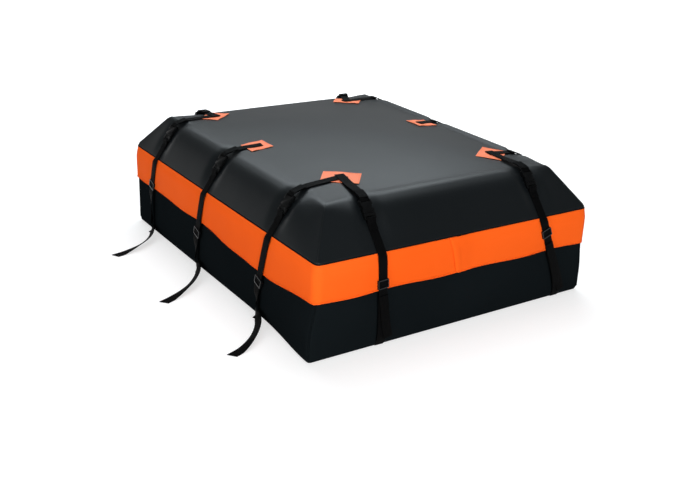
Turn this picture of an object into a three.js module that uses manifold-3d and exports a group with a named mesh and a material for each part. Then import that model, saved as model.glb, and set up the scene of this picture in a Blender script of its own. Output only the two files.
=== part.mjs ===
// Roof cargo bag: a box of coated cloth with a sloping lid, closed by a zipper under a storm flap
// and held to a roof by ten buckled straps. Millimetres, +Z up, origin at the middle of the floor.
// The short front wall faces -Y and the left wall faces -X.
import * as THREE from 'three';
import { mergeVertices } from 'three/addons/utils/BufferGeometryUtils.js';
import Module from 'manifold-3d';

// Gap between pieces that touch
const TOUCH = 0.3;

// Bag body
const TUB_WIDTH = 850; // across the side walls
const TUB_LENGTH = 1057; // across the front and back walls
const CLOTH = 4; // coated cloth with its hem and lining
const FLOOR_EDGE = 8; // radius of the floor's edge
const CORNER = 10; // radius of the upright corners
const ZIP_LINE = 206; // height of the zipper's middle
const HIP = 246; // height where the lid starts to slope
const CROWN = 348; // height where the slopes meet the top
const SIDE_SLOPE = 72; // how far a side slope leans in
const END_SLOPE = 88; // how far the front and back slopes lean in
const CROWN_SOFT = 0.25; // share of the slope that is rounded either side of the crown
const CROWN_RISE = 21; // rise of the stuffed top above its corners
const SLOPE_SHARES = [0, 0.4, 0.75, 0.9, 1.05, 1.25]; // where the lid's mesh has lines down a slope
const TOP_CELLS = 4; // mesh cells from the lid's middle to each crown
const TUB_STATION = 130; // longest mesh cell along the tub's walls
const CORNER_CELLS = 3; // mesh cells round each upright corner
const FLOOR_EDGE_CELLS = 3;

// Zipper
const TEETH = 6; // height of the row of teeth
const TEETH_STAND = 1.5; // how far the teeth stand off the wall
const SLIDER_LENGTH = 11;
const SLIDER_WALL = 2.9; // slider body over the teeth
const SLIDER_LIP = 2; // slider above and below the teeth
const PULL_LENGTH = 22;
const PULL_WIDTH = 6;
const PULL_THICK = 1.6;
const PULL_ROOT = 0.5; // how far the pull runs into its slider
const SLIDER_APART = 2; // between the two sliders

// Storm flap
const FLAP_THICK = 2;
const FLAP_HEIGHT = 95; // top seam to hem
const FLAP_DROP = 4; // top seam below the hip
const FLAP_HEM_STAND = 3; // inner face off the wall at the hem
const FLAP_WAVE = 3; // height of the waves in the hem
const FLAP_WAVE_PITCH = 260;
const FLAP_SAG = 16; // extra drop of the hem on the left wall, near the front
const SPLIT_X = -45; // where the flap's ends lap on the front wall
const FLAP_LAP = 24;
const FLAP_STEP = 32; // where the outer end comes down to the wall beyond the lap
const FLAP_STATION = 78; // longest mesh cell along the flap

// Straps
const WEB_WIDTH = 25;
const WEB_THICK = 1.4;
const SIDE_STRAPS = [['front', -312], ['middle', 48], ['back', 374]];
const END_STRAPS = [['left', -248], ['right', 266]];
const LEFT_LEAN = 18; // degrees that the straps of the left wall lean back
const FRONT_LEANS = { left: 4, right: 21 };
const LEFT_GLIDES = { front: 104, middle: 112, back: 156 };
const FRONT_GLIDES = { left: 163, right: 199 };
const PLAIN_GLIDE = 150; // height of the slider on each hidden strap
const STRAP_BEND = 8; // length of webbing in the bend over the hip
const GLIDE_CLEAR = 6; // straight webbing beyond a slider's travel
const SET_DOWN = 12; // height in which the webbing turns from leaning to upright
const FOOT_TOP = 19; // where a tucked strap nears the wall, and how far off it is there
const FOOT_STAND = 5;
const FOOT_DRIFT = 0.8; // share of its lean that a tucked strap keeps down to its foot
const TUCK = [[-1, 3.6], [-2, 1]]; // a tucked strap's last points: off the wall, and off the floor

// Loose tails of the left wall's straps: where each runs over the floor
const TAIL_ROUTES = {
  front: [[-441, -272], [-454, -306], [-478, -342], [-508, -374], [-542, -399], [-583, -416]],
  middle: [[-441, 76], [-453, 46], [-476, 14], [-506, -17], [-548, -46], [-606, -72]],
  back: [[-441, 397], [-453, 370], [-476, 340], [-506, 315], [-548, 295], [-603, 282]],
};
const TAIL_START = 46; // height where a tail begins
const TAIL_DROP = 16; // it hangs straight for this far
const TAIL_TWIST = 0.75; // how far it stands on its edge where it turns outwards
const TAIL_TURNED = 0.6; // share of its length by which its width lies across its run
const TAIL_FLAT = 0.9; // share of its length by which it lies flat
const TAIL_CLEAR = 8; // further lift where it stands on its edge
const TAIL_CELLS = 10;

// Patches
const PATCH_LONG = { front: 98, back: 82 };
const PATCH_SHORT = { front: 70, back: 60 };
const PATCH_SQUARE = 66;
const PATCH_THICK = 1.2;
const PATCH_TURN = 39; // degrees that a corner patch is turned
const PATCH_INSETS = { // to a corner patch's middle from the side wall and from the end wall
  left_front: [206, 228], right_front: [152, 226], left_back: [185, 158], right_back: [196, 166],
};
const MIDDLE_PATCHES = { // from the side wall, and along it
  left_middle: [146, 30], right_middle: [144, 30],
};
const ARCH = 8; // how far an anchor strap arches off the lid
const SEWN_END = 22; // webbing behind the patch's middle
const ARM_CELLS = 5; // mesh cells along an arm's arch
const ARM_RISE = 0.3; // slope at which an arm leaves its buckle
const PATCH_CELLS = [5, 3];

// Side release buckle
const SIDE_BUCKLE_DROP = 16; // buckle's upper end down the side slopes from the crown
const END_BUCKLE_DROP = 4; // and down the front and back slopes
const BUCKLE_RIM = 3.6; // plastic beside the webbing
const SOCKET_LENGTH = 34;
const SOCKET_THICK = 9;
const SOCKET_WALL = 1.9;
const BAR = 3.5;
const SLOT = 4;
const BAR_LEVEL = 0.75; // share of the socket's thickness that its upper bar takes
const HOOK = 1; // how far above the slope the hooked webbing ends
const ROUND_CELLS = 2; // mesh cells round each corner of the plastic
const CUT_PAST = 1; // cuts run this far past the faces they open
const SOCKET_DEPTH = 21;
const WINDOW_LENGTH = 10;
const WINDOW_BACK = 8; // window behind the socket's mouth
const PLUG_LENGTH = 17;
const PLUG_THICK = 6.4;
const PRONG_LENGTH = 19;
const PRONG_WIDTH = 3.6;
const TONGUE_WIDTH = 6;
const TONGUE_SHORT = 4; // tongue shorter than the prongs

// Slider (tri-glide)
const GLIDE_LENGTH = 24;
const GLIDE_RAIL = 2.8;
const GLIDE_BAR = 3;
const GLIDE_PLATE = 1.6;
const GLIDE_TRAVEL = 12;

// What follows from the sizes above
const HALF_X = TUB_WIDTH / 2;
const HALF_Y = TUB_LENGTH / 2;
const TUB_RIM = ZIP_LINE + TEETH / 2 + 1;
const SKIRT_FOOT = TUB_RIM + TOUCH;
const SLIDER_HALF = TEETH / 2 + TOUCH + SLIDER_LIP; // half the height of a slider's body
const SLIDER_OUT = TEETH_STAND + TOUCH + SLIDER_WALL;
const FLAP_STAND = SLIDER_OUT + TOUCH; // inner face off the wall at the sliders
const FLAP_TOP = HIP - FLAP_DROP;
const FLAP_HEM = FLAP_TOP - FLAP_HEIGHT;
const PLATE_IN = FLAP_STAND + FLAP_THICK + TOUCH; // inner face of a slider's bar
const WEB_OUT = PLATE_IN + GLIDE_PLATE + TOUCH + WEB_THICK / 2; // middle of the webbing off the wall
const SLOT_WIDTH = WEB_WIDTH + 2 * TOUCH;
const SOCKET_WIDTH = WEB_WIDTH + 2 * BUCKLE_RIM;
const CAVITY_WIDTH = SOCKET_WIDTH - 2 * SOCKET_WALL;
const CAVITY_HEIGHT = SOCKET_THICK - 2 * SOCKET_WALL;
const WEB_LIFT = TOUCH + WEB_THICK / 2; // middle of the webbing off the face that it lies on
const WEB_TOP = 2 * TOUCH + WEB_THICK; // upper face of the webbing off the slope, with a gap over it
const GLIDE_REACH = GLIDE_LENGTH / 2 + GLIDE_TRAVEL + GLIDE_CLEAR;
const SOCKET_LOW = 2 * TOUCH; // socket's lower face off the slope

const wasm = await Module();
wasm.setup();

const bag = new THREE.Group();

// Finishes
const BLACK_CLOTH = { color: 0x14181a, roughness: 0.5, metalness: 0 };
const ORANGE_CLOTH = { color: 0xf25f22, roughness: 0.6, metalness: 0 };
const BLACK_WEBBING = { color: 0x08090a, roughness: 0.8, metalness: 0 };
const BLACK_PLASTIC = { color: 0x0c0d0e, roughness: 0.35, metalness: 0 };
const ZIPPER_METAL = { color: 0x3a3c3e, roughness: 0.4, metalness: 0.8 };

function addPiece(name, geometry, finish) {
  const mesh = new THREE.Mesh(geometry, new THREE.MeshStandardMaterial(finish));
  mesh.name = name;
  bag.add(mesh);
  return mesh;
}

// A closed mesh from points and triangles
function meshOf(points, triangles) {
  const geometry = new THREE.BufferGeometry();
  const numbers = points.flatMap((p) => p.toArray());
  geometry.setAttribute('position', new THREE.Float32BufferAttribute(numbers, 3));
  geometry.setIndex(triangles.flat());
  return geometry;
}

// A skin over rings of equally many points, with a flat end at the first and the last
function loft(rings) {
  const count = rings[0].length;
  const points = rings.flat();
  const triangles = [];
  for (let r = 0; r + 1 < rings.length; r++) {
    const low = r * count;
    const high = low + count;
    for (let i = 0; i < count; i++) {
      const j = (i + 1) % count;
      triangles.push([low + i, low + j, high + j], [low + i, high + j, high + i]);
    }
  }
  for (const [ring, first] of [[rings[0], 0], [rings[rings.length - 1], points.length - count]]) {
    for (const [a, b, c] of THREE.ShapeUtils.triangulateShape(flattened(ring), [])) {
      triangles.push(first === 0 ? [a, c, b] : [first + a, first + b, first + c]);
    }
  }
  return meshOf(points, triangles);
}

// A flat ring seen square on, as 2D points that turn the way the ring does
function flattened(ring) {
  const middle = ring.reduce((sum, p) => sum.add(p), new THREE.Vector3()).divideScalar(ring.length);
  const normal = new THREE.Vector3();
  ring.forEach((p, i) => {
    const q = ring[(i + 1) % ring.length];
    normal.add(p.clone().sub(middle).cross(q.clone().sub(middle)));
  });
  normal.normalize();
  const across = ring[0].clone().sub(middle).normalize();
  const up = normal.clone().cross(across);
  const spokes = ring.map((p) => p.clone().sub(middle));
  return spokes.map((spoke) => new THREE.Vector2(spoke.dot(across), spoke.dot(up)));
}

function solidOf(geometry) {
  const bare = geometry.index ? geometry.clone() : geometry;
  for (const name of ['normal', 'uv']) if (bare.attributes[name]) bare.deleteAttribute(name);
  const merged = mergeVertices(bare, 1e-4);
  const mesh = new wasm.Mesh({
    numProp: 3,
    vertProperties: new Float32Array(merged.attributes.position.array),
    triVerts: new Uint32Array(merged.index.array),
  });
  return new wasm.Manifold(mesh);
}

function geometryOf(solid) {
  const mesh = solid.getMesh();
  const geometry = new THREE.BufferGeometry();
  geometry.setAttribute('position', new THREE.BufferAttribute(mesh.vertProperties, 3));
  geometry.setIndex(new THREE.BufferAttribute(mesh.triVerts, 1));
  return geometry;
}

function block(low, high) {
  const size = high.map((h, i) => h - low[i]);
  const box = new THREE.BoxGeometry(...size);
  return box.translate(...low.map((l, i) => l + size[i] / 2));
}

function joined(geometries) {
  return geometries.map(solidOf).reduce((sum, solid) => sum.add(solid));
}

// Stations round all four walls and their corners, no further apart than spacing on a wall
function wallLoop(spacing) {
  const stations = [];
  const sides = [
    [[1, 0], [0, 1], HALF_X, HALF_Y], [[0, 1], [-1, 0], HALF_Y, HALF_X],
    [[-1, 0], [0, -1], HALF_X, HALF_Y], [[0, -1], [1, 0], HALF_Y, HALF_X],
  ];
  for (const [out, along, half, reach] of sides) {
    const run = reach - CORNER;
    const steps = Math.ceil((2 * run) / spacing);
    for (let i = 0; i < steps; i++) {
      const s = -run + (2 * run * i) / steps;
      stations.push({ x: out[0] * half + along[0] * s, y: out[1] * half + along[1] * s, out });
    }
    const cx = out[0] * (half - CORNER) + along[0] * run;
    const cy = out[1] * (half - CORNER) + along[1] * run;
    for (let i = 0; i < CORNER_CELLS; i++) {
      const turn = (i / CORNER_CELLS) * (Math.PI / 2);
      const nx = out[0] * Math.cos(turn) + along[0] * Math.sin(turn);
      const ny = out[1] * Math.cos(turn) + along[1] * Math.sin(turn);
      stations.push({ x: cx + nx * CORNER, y: cy + ny * CORNER, out: [nx, ny] });
    }
  }
  return stations;
}

const offWall = (s, stand, z) => new THREE.Vector3(s.x + s.out[0] * stand, s.y + s.out[1] * stand, z);

// Share of the rise from hip to crown at share t of the way up a slope, rounded into the top
function slopeShare(t) {
  if (t <= 1 - CROWN_SOFT) return t;
  if (t >= 1 + CROWN_SOFT) return 1;
  return t - (t - 1 + CROWN_SOFT) ** 2 / (4 * CROWN_SOFT);
}

// Height of the lid's outer face
function lidHeight(x, y) {
  const tx = (HALF_X - Math.abs(x)) / SIDE_SLOPE;
  const ty = (HALF_Y - Math.abs(y)) / END_SLOPE;
  const bow = (v, half) => Math.max(0, 1 - (v / half) ** 2);
  const rise = CROWN_RISE * bow(x, HALF_X - SIDE_SLOPE) * bow(y, HALF_Y - END_SLOPE);
  return HIP + (CROWN - HIP) * slopeShare(Math.min(tx, ty)) + rise;
}

// A level direction tilted to lie along the lid at a point
function lidTilt(at, across) {
  const half = WEB_WIDTH / 2;
  const ends = [half, -half].map((d) => lidHeight(at.x + across.x * d, at.y + across.y * d));
  return across.clone().setZ((ends[0] - ends[1]) / WEB_WIDTH).normalize();
}

// Tub: floor and four walls sewn into one tray, with the zipper's teeth along its rim
function makeTub() {
  const loop = wallLoop(TUB_STATION);
  const ring = (stand, z) => loop.map((s) => offWall(s, stand, z));
  const rings = [];
  for (let i = 0; i <= FLOOR_EDGE_CELLS; i++) {
    const turn = (i / FLOOR_EDGE_CELLS) * (Math.PI / 2);
    rings.push(ring(-FLOOR_EDGE * (1 - Math.sin(turn)), FLOOR_EDGE * (1 - Math.cos(turn))));
  }
  const low = ZIP_LINE - TEETH / 2;
  const high = ZIP_LINE + TEETH / 2;
  rings.push(ring(0, low), ring(TEETH_STAND, low), ring(TEETH_STAND, high), ring(0, high), ring(0, TUB_RIM));
  rings.push(ring(-CLOTH, TUB_RIM), ring(-CLOTH, FLOOR_EDGE), ring(-FLOOR_EDGE, CLOTH));
  addPiece('tub', loft(rings), BLACK_CLOTH);
}

// Lid: a skirt, four slopes and the crowned top, all one wall of cloth
function makeLid() {
  function lines(half, slope) {
    const edge = SLOPE_SHARES.map((t) => half - slope * t);
    const inner = edge[edge.length - 1];
    const middle = [];
    for (let i = 1; i < TOP_CELLS * 2; i++) middle.push(inner - (inner * i) / TOP_CELLS);
    return [...edge, ...middle, ...edge.map((v) => -v).reverse()];
  }
  const xs = lines(HALF_X, SIDE_SLOPE);
  const ys = lines(HALF_Y, END_SLOPE);
  const n = xs.length;
  const pull = CORNER * (1 - Math.SQRT1_2);
  const points = [];
  const triangles = [];
  // One face of the cloth: 0 for the outer, CLOTH for the inner
  function layer(depth) {
    const first = points.length;
    const shrinkX = (HALF_X - depth) / HALF_X;
    const shrinkY = (HALF_Y - depth) / HALF_Y;
    for (let i = 0; i < n; i++) {
      for (let j = 0; j < n; j++) {
        const corner = (i === 0 || i === n - 1) && (j === 0 || j === n - 1);
        const x = xs[i] * shrinkX - (corner ? Math.sign(xs[i]) * pull : 0);
        const y = ys[j] * shrinkY - (corner ? Math.sign(ys[j]) * pull : 0);
        points.push(new THREE.Vector3(x, y, lidHeight(xs[i], ys[j]) - depth));
      }
    }
    return first;
  }
  const outer = layer(0);
  const inner = layer(CLOTH);
  // Each corner's crease runs along its cells' diagonals, and the top's cells fold the other way
  const onRim = (k) => k < SLOPE_SHARES.length - 1 || k > n - 1 - SLOPE_SHARES.length;
  for (let i = 0; i + 1 < n; i++) {
    for (let j = 0; j + 1 < n; j++) {
      const a = i * n + j;
      const [b, c, d] = [a + n, a + n + 1, a + 1];
      const sameSide = (i < n / 2 - 1) === (j < n / 2 - 1);
      const mainDiagonal = sameSide === (onRim(i) && onRim(j));
      const pair = mainDiagonal ? [[a, b, c], [a, c, d]] : [[a, b, d], [b, c, d]];
      for (const [p, q, r] of pair) {
        triangles.push([outer + p, outer + q, outer + r], [inner + p, inner + r, inner + q]);
      }
    }
  }
  // The skirt hangs from the edge of both faces and is closed along its foot
  const edge = [];
  for (let i = 0; i < n - 1; i++) edge.push(i * n);
  for (let j = 0; j < n - 1; j++) edge.push((n - 1) * n + j);
  for (let i = n - 1; i > 0; i--) edge.push(i * n + n - 1);
  for (let j = n - 1; j > 0; j--) edge.push(j);
  const foot = [outer, inner].map((face) => {
    const first = points.length;
    for (const k of edge) points.push(points[face + k].clone().setZ(SKIRT_FOOT));
    return first;
  });
  edge.forEach((k, i) => {
    const j = (i + 1) % edge.length;
    const next = edge[j];
    const [fo, fi] = foot;
    triangles.push([outer + k, fo + i, fo + j], [outer + k, fo + j, outer + next]);
    triangles.push([inner + k, fi + j, fi + i], [inner + k, inner + next, fi + j]);
    triangles.push([fo + i, fi + i, fi + j], [fo + i, fi + j, fo + j]);
  });
  addPiece('lid', meshOf(points, triangles), BLACK_CLOTH);
}

// Storm flap: one strip sewn below the hip, round the whole bag, its ends lapped on the front wall
function makeFlap() {
  const loop = wallLoop(FLAP_STATION);
  const front = loop.map((s, i) => ({ ...s, i })).filter((s) => s.out[1] === -1);
  const lapEnd = SPLIT_X + FLAP_LAP;
  const rightOfSplit = front.filter((s) => s.x > lapEnd + FLAP_STEP);
  const leftOfSplit = front.filter((s) => s.x < SPLIT_X);
  const startAt = rightOfSplit.reduce((a, s) => (s.x < a.x ? s : a));
  const endAt = leftOfSplit.reduce((a, s) => (s.x > a.x ? s : a));
  const onFront = (x, lift) => ({ x, y: -HALF_Y, out: [0, -1], lift });
  const lap = FLAP_THICK + TOUCH;
  const stations = [onFront(SPLIT_X, lap), onFront(lapEnd, lap), onFront(lapEnd + FLAP_STEP, 0)];
  for (let k = startAt.i; ; k = (k + 1) % loop.length) {
    stations.push({ ...loop[k], lift: 0 });
    if (k === endAt.i) break;
  }
  stations.push(onFront(SPLIT_X, 0), onFront(lapEnd, 0));
  function hem(s) {
    const along = Math.abs(s.out[0]) > Math.abs(s.out[1]) ? s.y : s.x;
    const wave = FLAP_WAVE * Math.sin((2 * Math.PI * along) / FLAP_WAVE_PITCH);
    const reach = Math.max(0, 1 - Math.abs(s.y + HALF_Y / 2) / (HALF_Y / 2));
    const sag = s.out[0] < -Math.SQRT1_2 ? FLAP_SAG * Math.sin((reach * Math.PI) / 2) : 0;
    return FLAP_HEM + wave - sag;
  }
  const room = SLIDER_HALF + 2 * TOUCH;
  const rings = stations.map((s) => {
    const stands = [
      [TOUCH, FLAP_TOP],
      [FLAP_STAND, ZIP_LINE + room],
      [FLAP_STAND, ZIP_LINE - room],
      [FLAP_HEM_STAND, hem(s)],
    ];
    const inside = stands.map(([stand, z]) => offWall(s, stand + s.lift, z));
    const outside = stands.map(([stand, z]) => offWall(s, stand + s.lift + FLAP_THICK, z));
    return [...outside, ...inside.reverse()];
  });
  addPiece('storm_flap', loft(rings), ORANGE_CLOTH);
}

// Zip slider: a grooved block over the teeth with its pull hanging below, at x on the front wall
function makeZipSlider(name, x) {
  const top = SLIDER_HALF;
  const groove = TEETH / 2 + TOUCH;
  const outline = new THREE.Shape();
  outline.moveTo(TOUCH, -top);
  outline.lineTo(SLIDER_OUT, -top);
  outline.lineTo(SLIDER_OUT, top);
  outline.lineTo(TOUCH, top);
  outline.lineTo(TOUCH, groove);
  outline.lineTo(TEETH_STAND + TOUCH, groove);
  outline.lineTo(TEETH_STAND + TOUCH, -groove);
  outline.lineTo(TOUCH, -groove);
  const body = new THREE.ExtrudeGeometry(outline, { depth: SLIDER_LENGTH, bevelEnabled: false });
  body.translate(0, 0, -SLIDER_LENGTH / 2);
  const pullIn = TEETH_STAND - PULL_THICK / 2;
  const pull = block(
    [pullIn, -top - PULL_LENGTH, -PULL_WIDTH / 2],
    [pullIn + PULL_THICK, -top + PULL_ROOT, PULL_WIDTH / 2],
  );
  const mesh = addPiece(name, geometryOf(joined([body, pull])), ZIPPER_METAL);
  const basis = new THREE.Matrix4().makeBasis(
    new THREE.Vector3(0, -1, 0), new THREE.Vector3(0, 0, 1), new THREE.Vector3(-1, 0, 0),
  );
  mesh.quaternion.setFromRotationMatrix(basis);
  mesh.position.set(x, -HALF_Y, ZIP_LINE);
}

// A strip of webbing through stations of a point and the direction of its width there
function webbing(stations) {
  return loft(stations.map((s, i) => {
    const before = stations[Math.max(0, i - 1)].at;
    const after = stations[Math.min(stations.length - 1, i + 1)].at;
    const run = after.clone().sub(before).normalize();
    const wide = s.wide.clone().addScaledVector(run, -s.wide.dot(run)).normalize();
    const thin = run.clone().cross(wide);
    return [[-1, -1], [1, -1], [1, 1], [-1, 1]].map(([a, b]) => s.at.clone()
      .addScaledVector(wide, (a * WEB_WIDTH) / 2)
      .addScaledVector(thin, (b * WEB_THICK) / 2));
  }));
}

// Where a strap runs: out is away from its wall, along is the wall's own direction
const UP = new THREE.Vector3(0, 0, 1);
function strapLine(wall, place, at) {
  const outs = { left: [-1, 0, 0], right: [1, 0, 0], front: [0, -1, 0], back: [0, 1, 0] };
  const out = new THREE.Vector3(...outs[wall]);
  const onSide = wall === 'left' || wall === 'right';
  const along = new THREE.Vector3(...(onSide ? [0, 1, 0] : [1, 0, 0]));
  const half = onSide ? HALF_X : HALF_Y;
  const inset = onSide ? SIDE_SLOPE : END_SLOPE;
  const drop = onSide ? SIDE_BUCKLE_DROP : END_BUCKLE_DROP;
  const length = Math.hypot(inset, CROWN - HIP);
  const down = out.clone().multiplyScalar(inset).addScaledVector(UP, HIP - CROWN).divideScalar(length);
  const off = out.clone().multiplyScalar(CROWN - HIP).addScaledVector(UP, inset).divideScalar(length);
  let lean = 0;
  let glide = PLAIN_GLIDE;
  if (wall === 'left') [lean, glide] = [LEFT_LEAN, LEFT_GLIDES[place]];
  if (wall === 'front') [lean, glide] = [FRONT_LEANS[place], FRONT_GLIDES[place]];
  const turn = THREE.MathUtils.degToRad(lean);
  const fall = along.clone().multiplyScalar(Math.sin(turn)).addScaledVector(UP, -Math.cos(turn));
  const wide = along.clone().multiplyScalar(Math.cos(turn)).addScaledVector(UP, Math.sin(turn));
  const onWall = (e, stand, z) => out.clone().multiplyScalar(half + stand).addScaledVector(along, e).setZ(z);
  const crown = onWall(at, -inset, CROWN);
  const onSlope = (u, w) => crown.clone().addScaledVector(down, u + drop).addScaledVector(off, w);
  // The webbing leaves the slope where its line meets its upright line off the wall
  const slopeRun = (WEB_OUT - (onSlope(0, WEB_LIFT).dot(out) - half)) / down.dot(out);
  const knee = onSlope(slopeRun, WEB_LIFT);
  const onDrop = (z) => knee.clone().addScaledVector(fall, (knee.z - z) / Math.cos(turn));
  const name = `${wall}_${place}`;
  const loose = wall === 'left';
  return { name, out, along, down, off, fall, wide, glide, onWall, onSlope, onDrop, slopeRun, knee, loose };
}

// Lower webbing: from under the plug, over the hip, down to its slider and on to the floor
function makeWebbing(line) {
  const { along, wide, knee } = line;
  const bendIn = line.onSlope(line.slopeRun - STRAP_BEND, WEB_LIFT);
  const bendOut = knee.clone().addScaledVector(line.fall, STRAP_BEND);
  const bend = new THREE.QuadraticBezierCurve3(bendIn, knee, bendOut);
  const stations = [{ at: line.onSlope(SOCKET_LENGTH + BAR, WEB_LIFT), wide: along }];
  const steps = 4;
  for (let i = 0; i <= steps; i++) {
    stations.push({ at: bend.getPoint(i / steps), wide: along.clone().lerp(wide, i / steps) });
  }
  const low = line.onDrop(line.glide - GLIDE_REACH);
  stations.push({ at: low, wide });
  const e = low.dot(along);
  if (line.loose) {
    stations.push({ at: line.onWall(e, WEB_OUT, low.z - SET_DOWN), wide: along });
    stations.push({ at: line.onWall(e, WEB_OUT, TAIL_START), wide: along });
  } else {
    const foot = e + line.fall.dot(along) * low.z * FOOT_DRIFT;
    stations.push({ at: line.onWall(foot, FOOT_STAND, FOOT_TOP), wide: along });
    stations.push({ at: line.onWall(foot, WEB_LIFT, FLOOR_EDGE), wide: along });
    for (const [stand, z] of TUCK) {
      stations.push({ at: line.onWall(foot, stand + WEB_LIFT, z), wide: along });
    }
  }
  addPiece(`webbing_${line.name}`, webbing(stations), BLACK_WEBBING);
}

// Loose tail of a strap on the left wall, from under its slider out over the floor
function makeTail(line, place) {
  const start = line.onDrop(line.glide - GLIDE_REACH).setZ(TAIL_START - 2 * TOUCH);
  start.setX(-HALF_X - WEB_OUT);
  const points = [start.clone().setZ(start.z - TAIL_DROP)];
  for (const [x, y] of TAIL_ROUTES[place]) points.push(new THREE.Vector3(x, y, WEB_LIFT));
  const route = new THREE.CatmullRomCurve3(points, false, 'centripetal');
  const stations = [{ at: start, wide: line.along }];
  for (let i = 0; i <= TAIL_CELLS; i++) {
    const share = i / TAIL_CELLS;
    const at = route.getPointAt(share);
    const run = route.getTangentAt(share);
    const flat = new THREE.Vector3(run.y, -run.x, 0).normalize();
    const wide = line.along.clone().lerp(flat, Math.min(1, share / TAIL_TURNED));
    wide.addScaledVector(UP, -TAIL_TWIST * Math.sin(Math.PI * Math.min(1, share / TAIL_FLAT)));
    wide.addScaledVector(run, -wide.dot(run)).normalize();
    const standing = Math.abs(wide.z);
    at.setZ(Math.max(at.z, WEB_LIFT + standing * (WEB_WIDTH / 2 + TAIL_CLEAR)));
    stations.push({ at, wide });
  }
  addPiece(`strap_tail_${place}`, webbing(stations), BLACK_WEBBING);
}

// Patch of orange cloth that follows the lid, w by h, its middle at x, y
function makePatch(name, x, y, w, h, turn) {
  const [cells, rows] = PATCH_CELLS;
  const points = [];
  const triangles = [];
  const cos = Math.cos(turn);
  const sin = Math.sin(turn);
  for (const lift of [TOUCH, TOUCH + PATCH_THICK]) {
    for (let i = 0; i <= cells; i++) {
      for (let j = 0; j <= rows; j++) {
        const u = w * (i / cells - 0.5);
        const v = h * (j / rows - 0.5);
        const px = x + u * cos - v * sin;
        const py = y + u * sin + v * cos;
        points.push(new THREE.Vector3(px, py, lidHeight(px, py) + lift));
      }
    }
  }
  const stride = rows + 1;
  const upper = (cells + 1) * stride;
  const id = (i, j) => i * stride + j;
  for (let i = 0; i < cells; i++) {
    for (let j = 0; j < rows; j++) {
      const [a, b, c, d] = [id(i, j), id(i + 1, j), id(i + 1, j + 1), id(i, j + 1)];
      triangles.push([a, c, b], [a, d, c]);
      triangles.push([upper + a, upper + b, upper + c], [upper + a, upper + c, upper + d]);
    }
  }
  const edge = [];
  for (let i = 0; i < cells; i++) edge.push(id(i, 0));
  for (let j = 0; j < rows; j++) edge.push(id(cells, j));
  for (let i = cells; i > 0; i--) edge.push(id(i, rows));
  for (let j = rows; j > 0; j--) edge.push(id(0, j));
  edge.forEach((k, i) => {
    const next = edge[(i + 1) % edge.length];
    triangles.push([k, next, upper + next], [k, upper + next, upper + k]);
  });
  addPiece(name, meshOf(points, triangles), ORANGE_CLOTH);
}

// One arm of an anchor strap: sewn on the patch, arched over the crown and hooked over the socket's bar
function anchorArm(line, x, y, short) {
  const barTop = SOCKET_LOW + SOCKET_THICK * BAR_LEVEL + 2 * TOUCH + WEB_THICK / 2;
  const over = line.onSlope(-WEB_THICK, barTop);
  const middle = new THREE.Vector3(x, y, 0);
  const away = over.clone().setZ(0).sub(middle);
  const span = away.length();
  away.normalize();
  const lift = TOUCH + PATCH_THICK + WEB_LIFT;
  const stations = [];
  const across = new THREE.Vector3(-away.y, away.x, 0);
  if (across.dot(line.along) < 0) across.negate();
  const sewn = short / 2;
  for (const s of [-SEWN_END, 0, sewn / 2, sewn]) {
    const at = middle.clone().addScaledVector(away, s);
    stations.push({ at: at.setZ(lidHeight(at.x, at.y) + lift), wide: lidTilt(at, across) });
  }
  const free = span - sewn;
  for (let i = 1; i < ARM_CELLS; i++) {
    const share = i / ARM_CELLS;
    const at = middle.clone().addScaledVector(away, sewn + free * share);
    const blend = share * share * (3 - 2 * share);
    const arched = lidHeight(at.x, at.y) + lift + ARCH * Math.sin(Math.PI * share);
    const fromBuckle = Math.max(arched, over.z + (1 - share) * free * ARM_RISE);
    at.setZ(THREE.MathUtils.lerp(arched, fromBuckle, blend));
    stations.push({ at, wide: lidTilt(at, across).lerp(line.along, share) });
  }
  stations.push({ at: over, wide: line.along });
  stations.push({ at: line.onSlope(BAR / 2, barTop), wide: line.along });
  stations.push({ at: line.onSlope(BAR, barTop), wide: line.along });
  stations.push({ at: line.onSlope(BAR + SLOT / 2, barTop - WEB_THICK), wide: line.along });
  stations.push({ at: line.onSlope(BAR + SLOT / 2, SOCKET_LOW + HOOK), wide: line.along });
  return webbing(stations);
}

// Buckle shapes: x runs down the strap, y across it and z away from the slope
function roundedPlate(length, width, radius) {
  const shape = new THREE.Shape();
  const [x0, x1, y0, y1] = [0, length, -width / 2, width / 2];
  shape.moveTo(x0 + radius, y0);
  shape.lineTo(x1 - radius, y0);
  shape.absarc(x1 - radius, y0 + radius, radius, -Math.PI / 2, 0);
  shape.absarc(x1 - radius, y1 - radius, radius, 0, Math.PI / 2);
  shape.absarc(x0 + radius, y1 - radius, radius, Math.PI / 2, Math.PI);
  shape.absarc(x0 + radius, y0 + radius, radius, Math.PI, Math.PI * 1.5);
  return shape;
}

function socketShape() {
  const outline = roundedPlate(SOCKET_LENGTH, SOCKET_WIDTH, BUCKLE_RIM);
  let solid = solidOf(new THREE.ExtrudeGeometry(outline, {
    depth: SOCKET_THICK, bevelEnabled: false, curveSegments: ROUND_CELLS,
  }));
  const mouth = SOCKET_LENGTH - SOCKET_DEPTH;
  const wide = SLOT_WIDTH / 2;
  const past = SOCKET_WIDTH;
  const windowEnd = SOCKET_LENGTH - WINDOW_BACK;
  const half = CAVITY_WIDTH / 2;
  const high = SOCKET_THICK + CUT_PAST;
  const roof = SOCKET_WALL + CAVITY_HEIGHT;
  const cuts = [
    block([BAR, -wide, -CUT_PAST], [BAR + SLOT, wide, high]),
    block([-CUT_PAST, -past, SOCKET_THICK * BAR_LEVEL], [BAR, past, high]),
    block([mouth, -half, SOCKET_WALL], [SOCKET_LENGTH + CUT_PAST, half, roof]),
    block([windowEnd - WINDOW_LENGTH, -past, SOCKET_WALL], [windowEnd, past, roof]),
  ];
  for (const cut of cuts) solid = solid.subtract(solidOf(cut));
  return geometryOf(solid);
}

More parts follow.
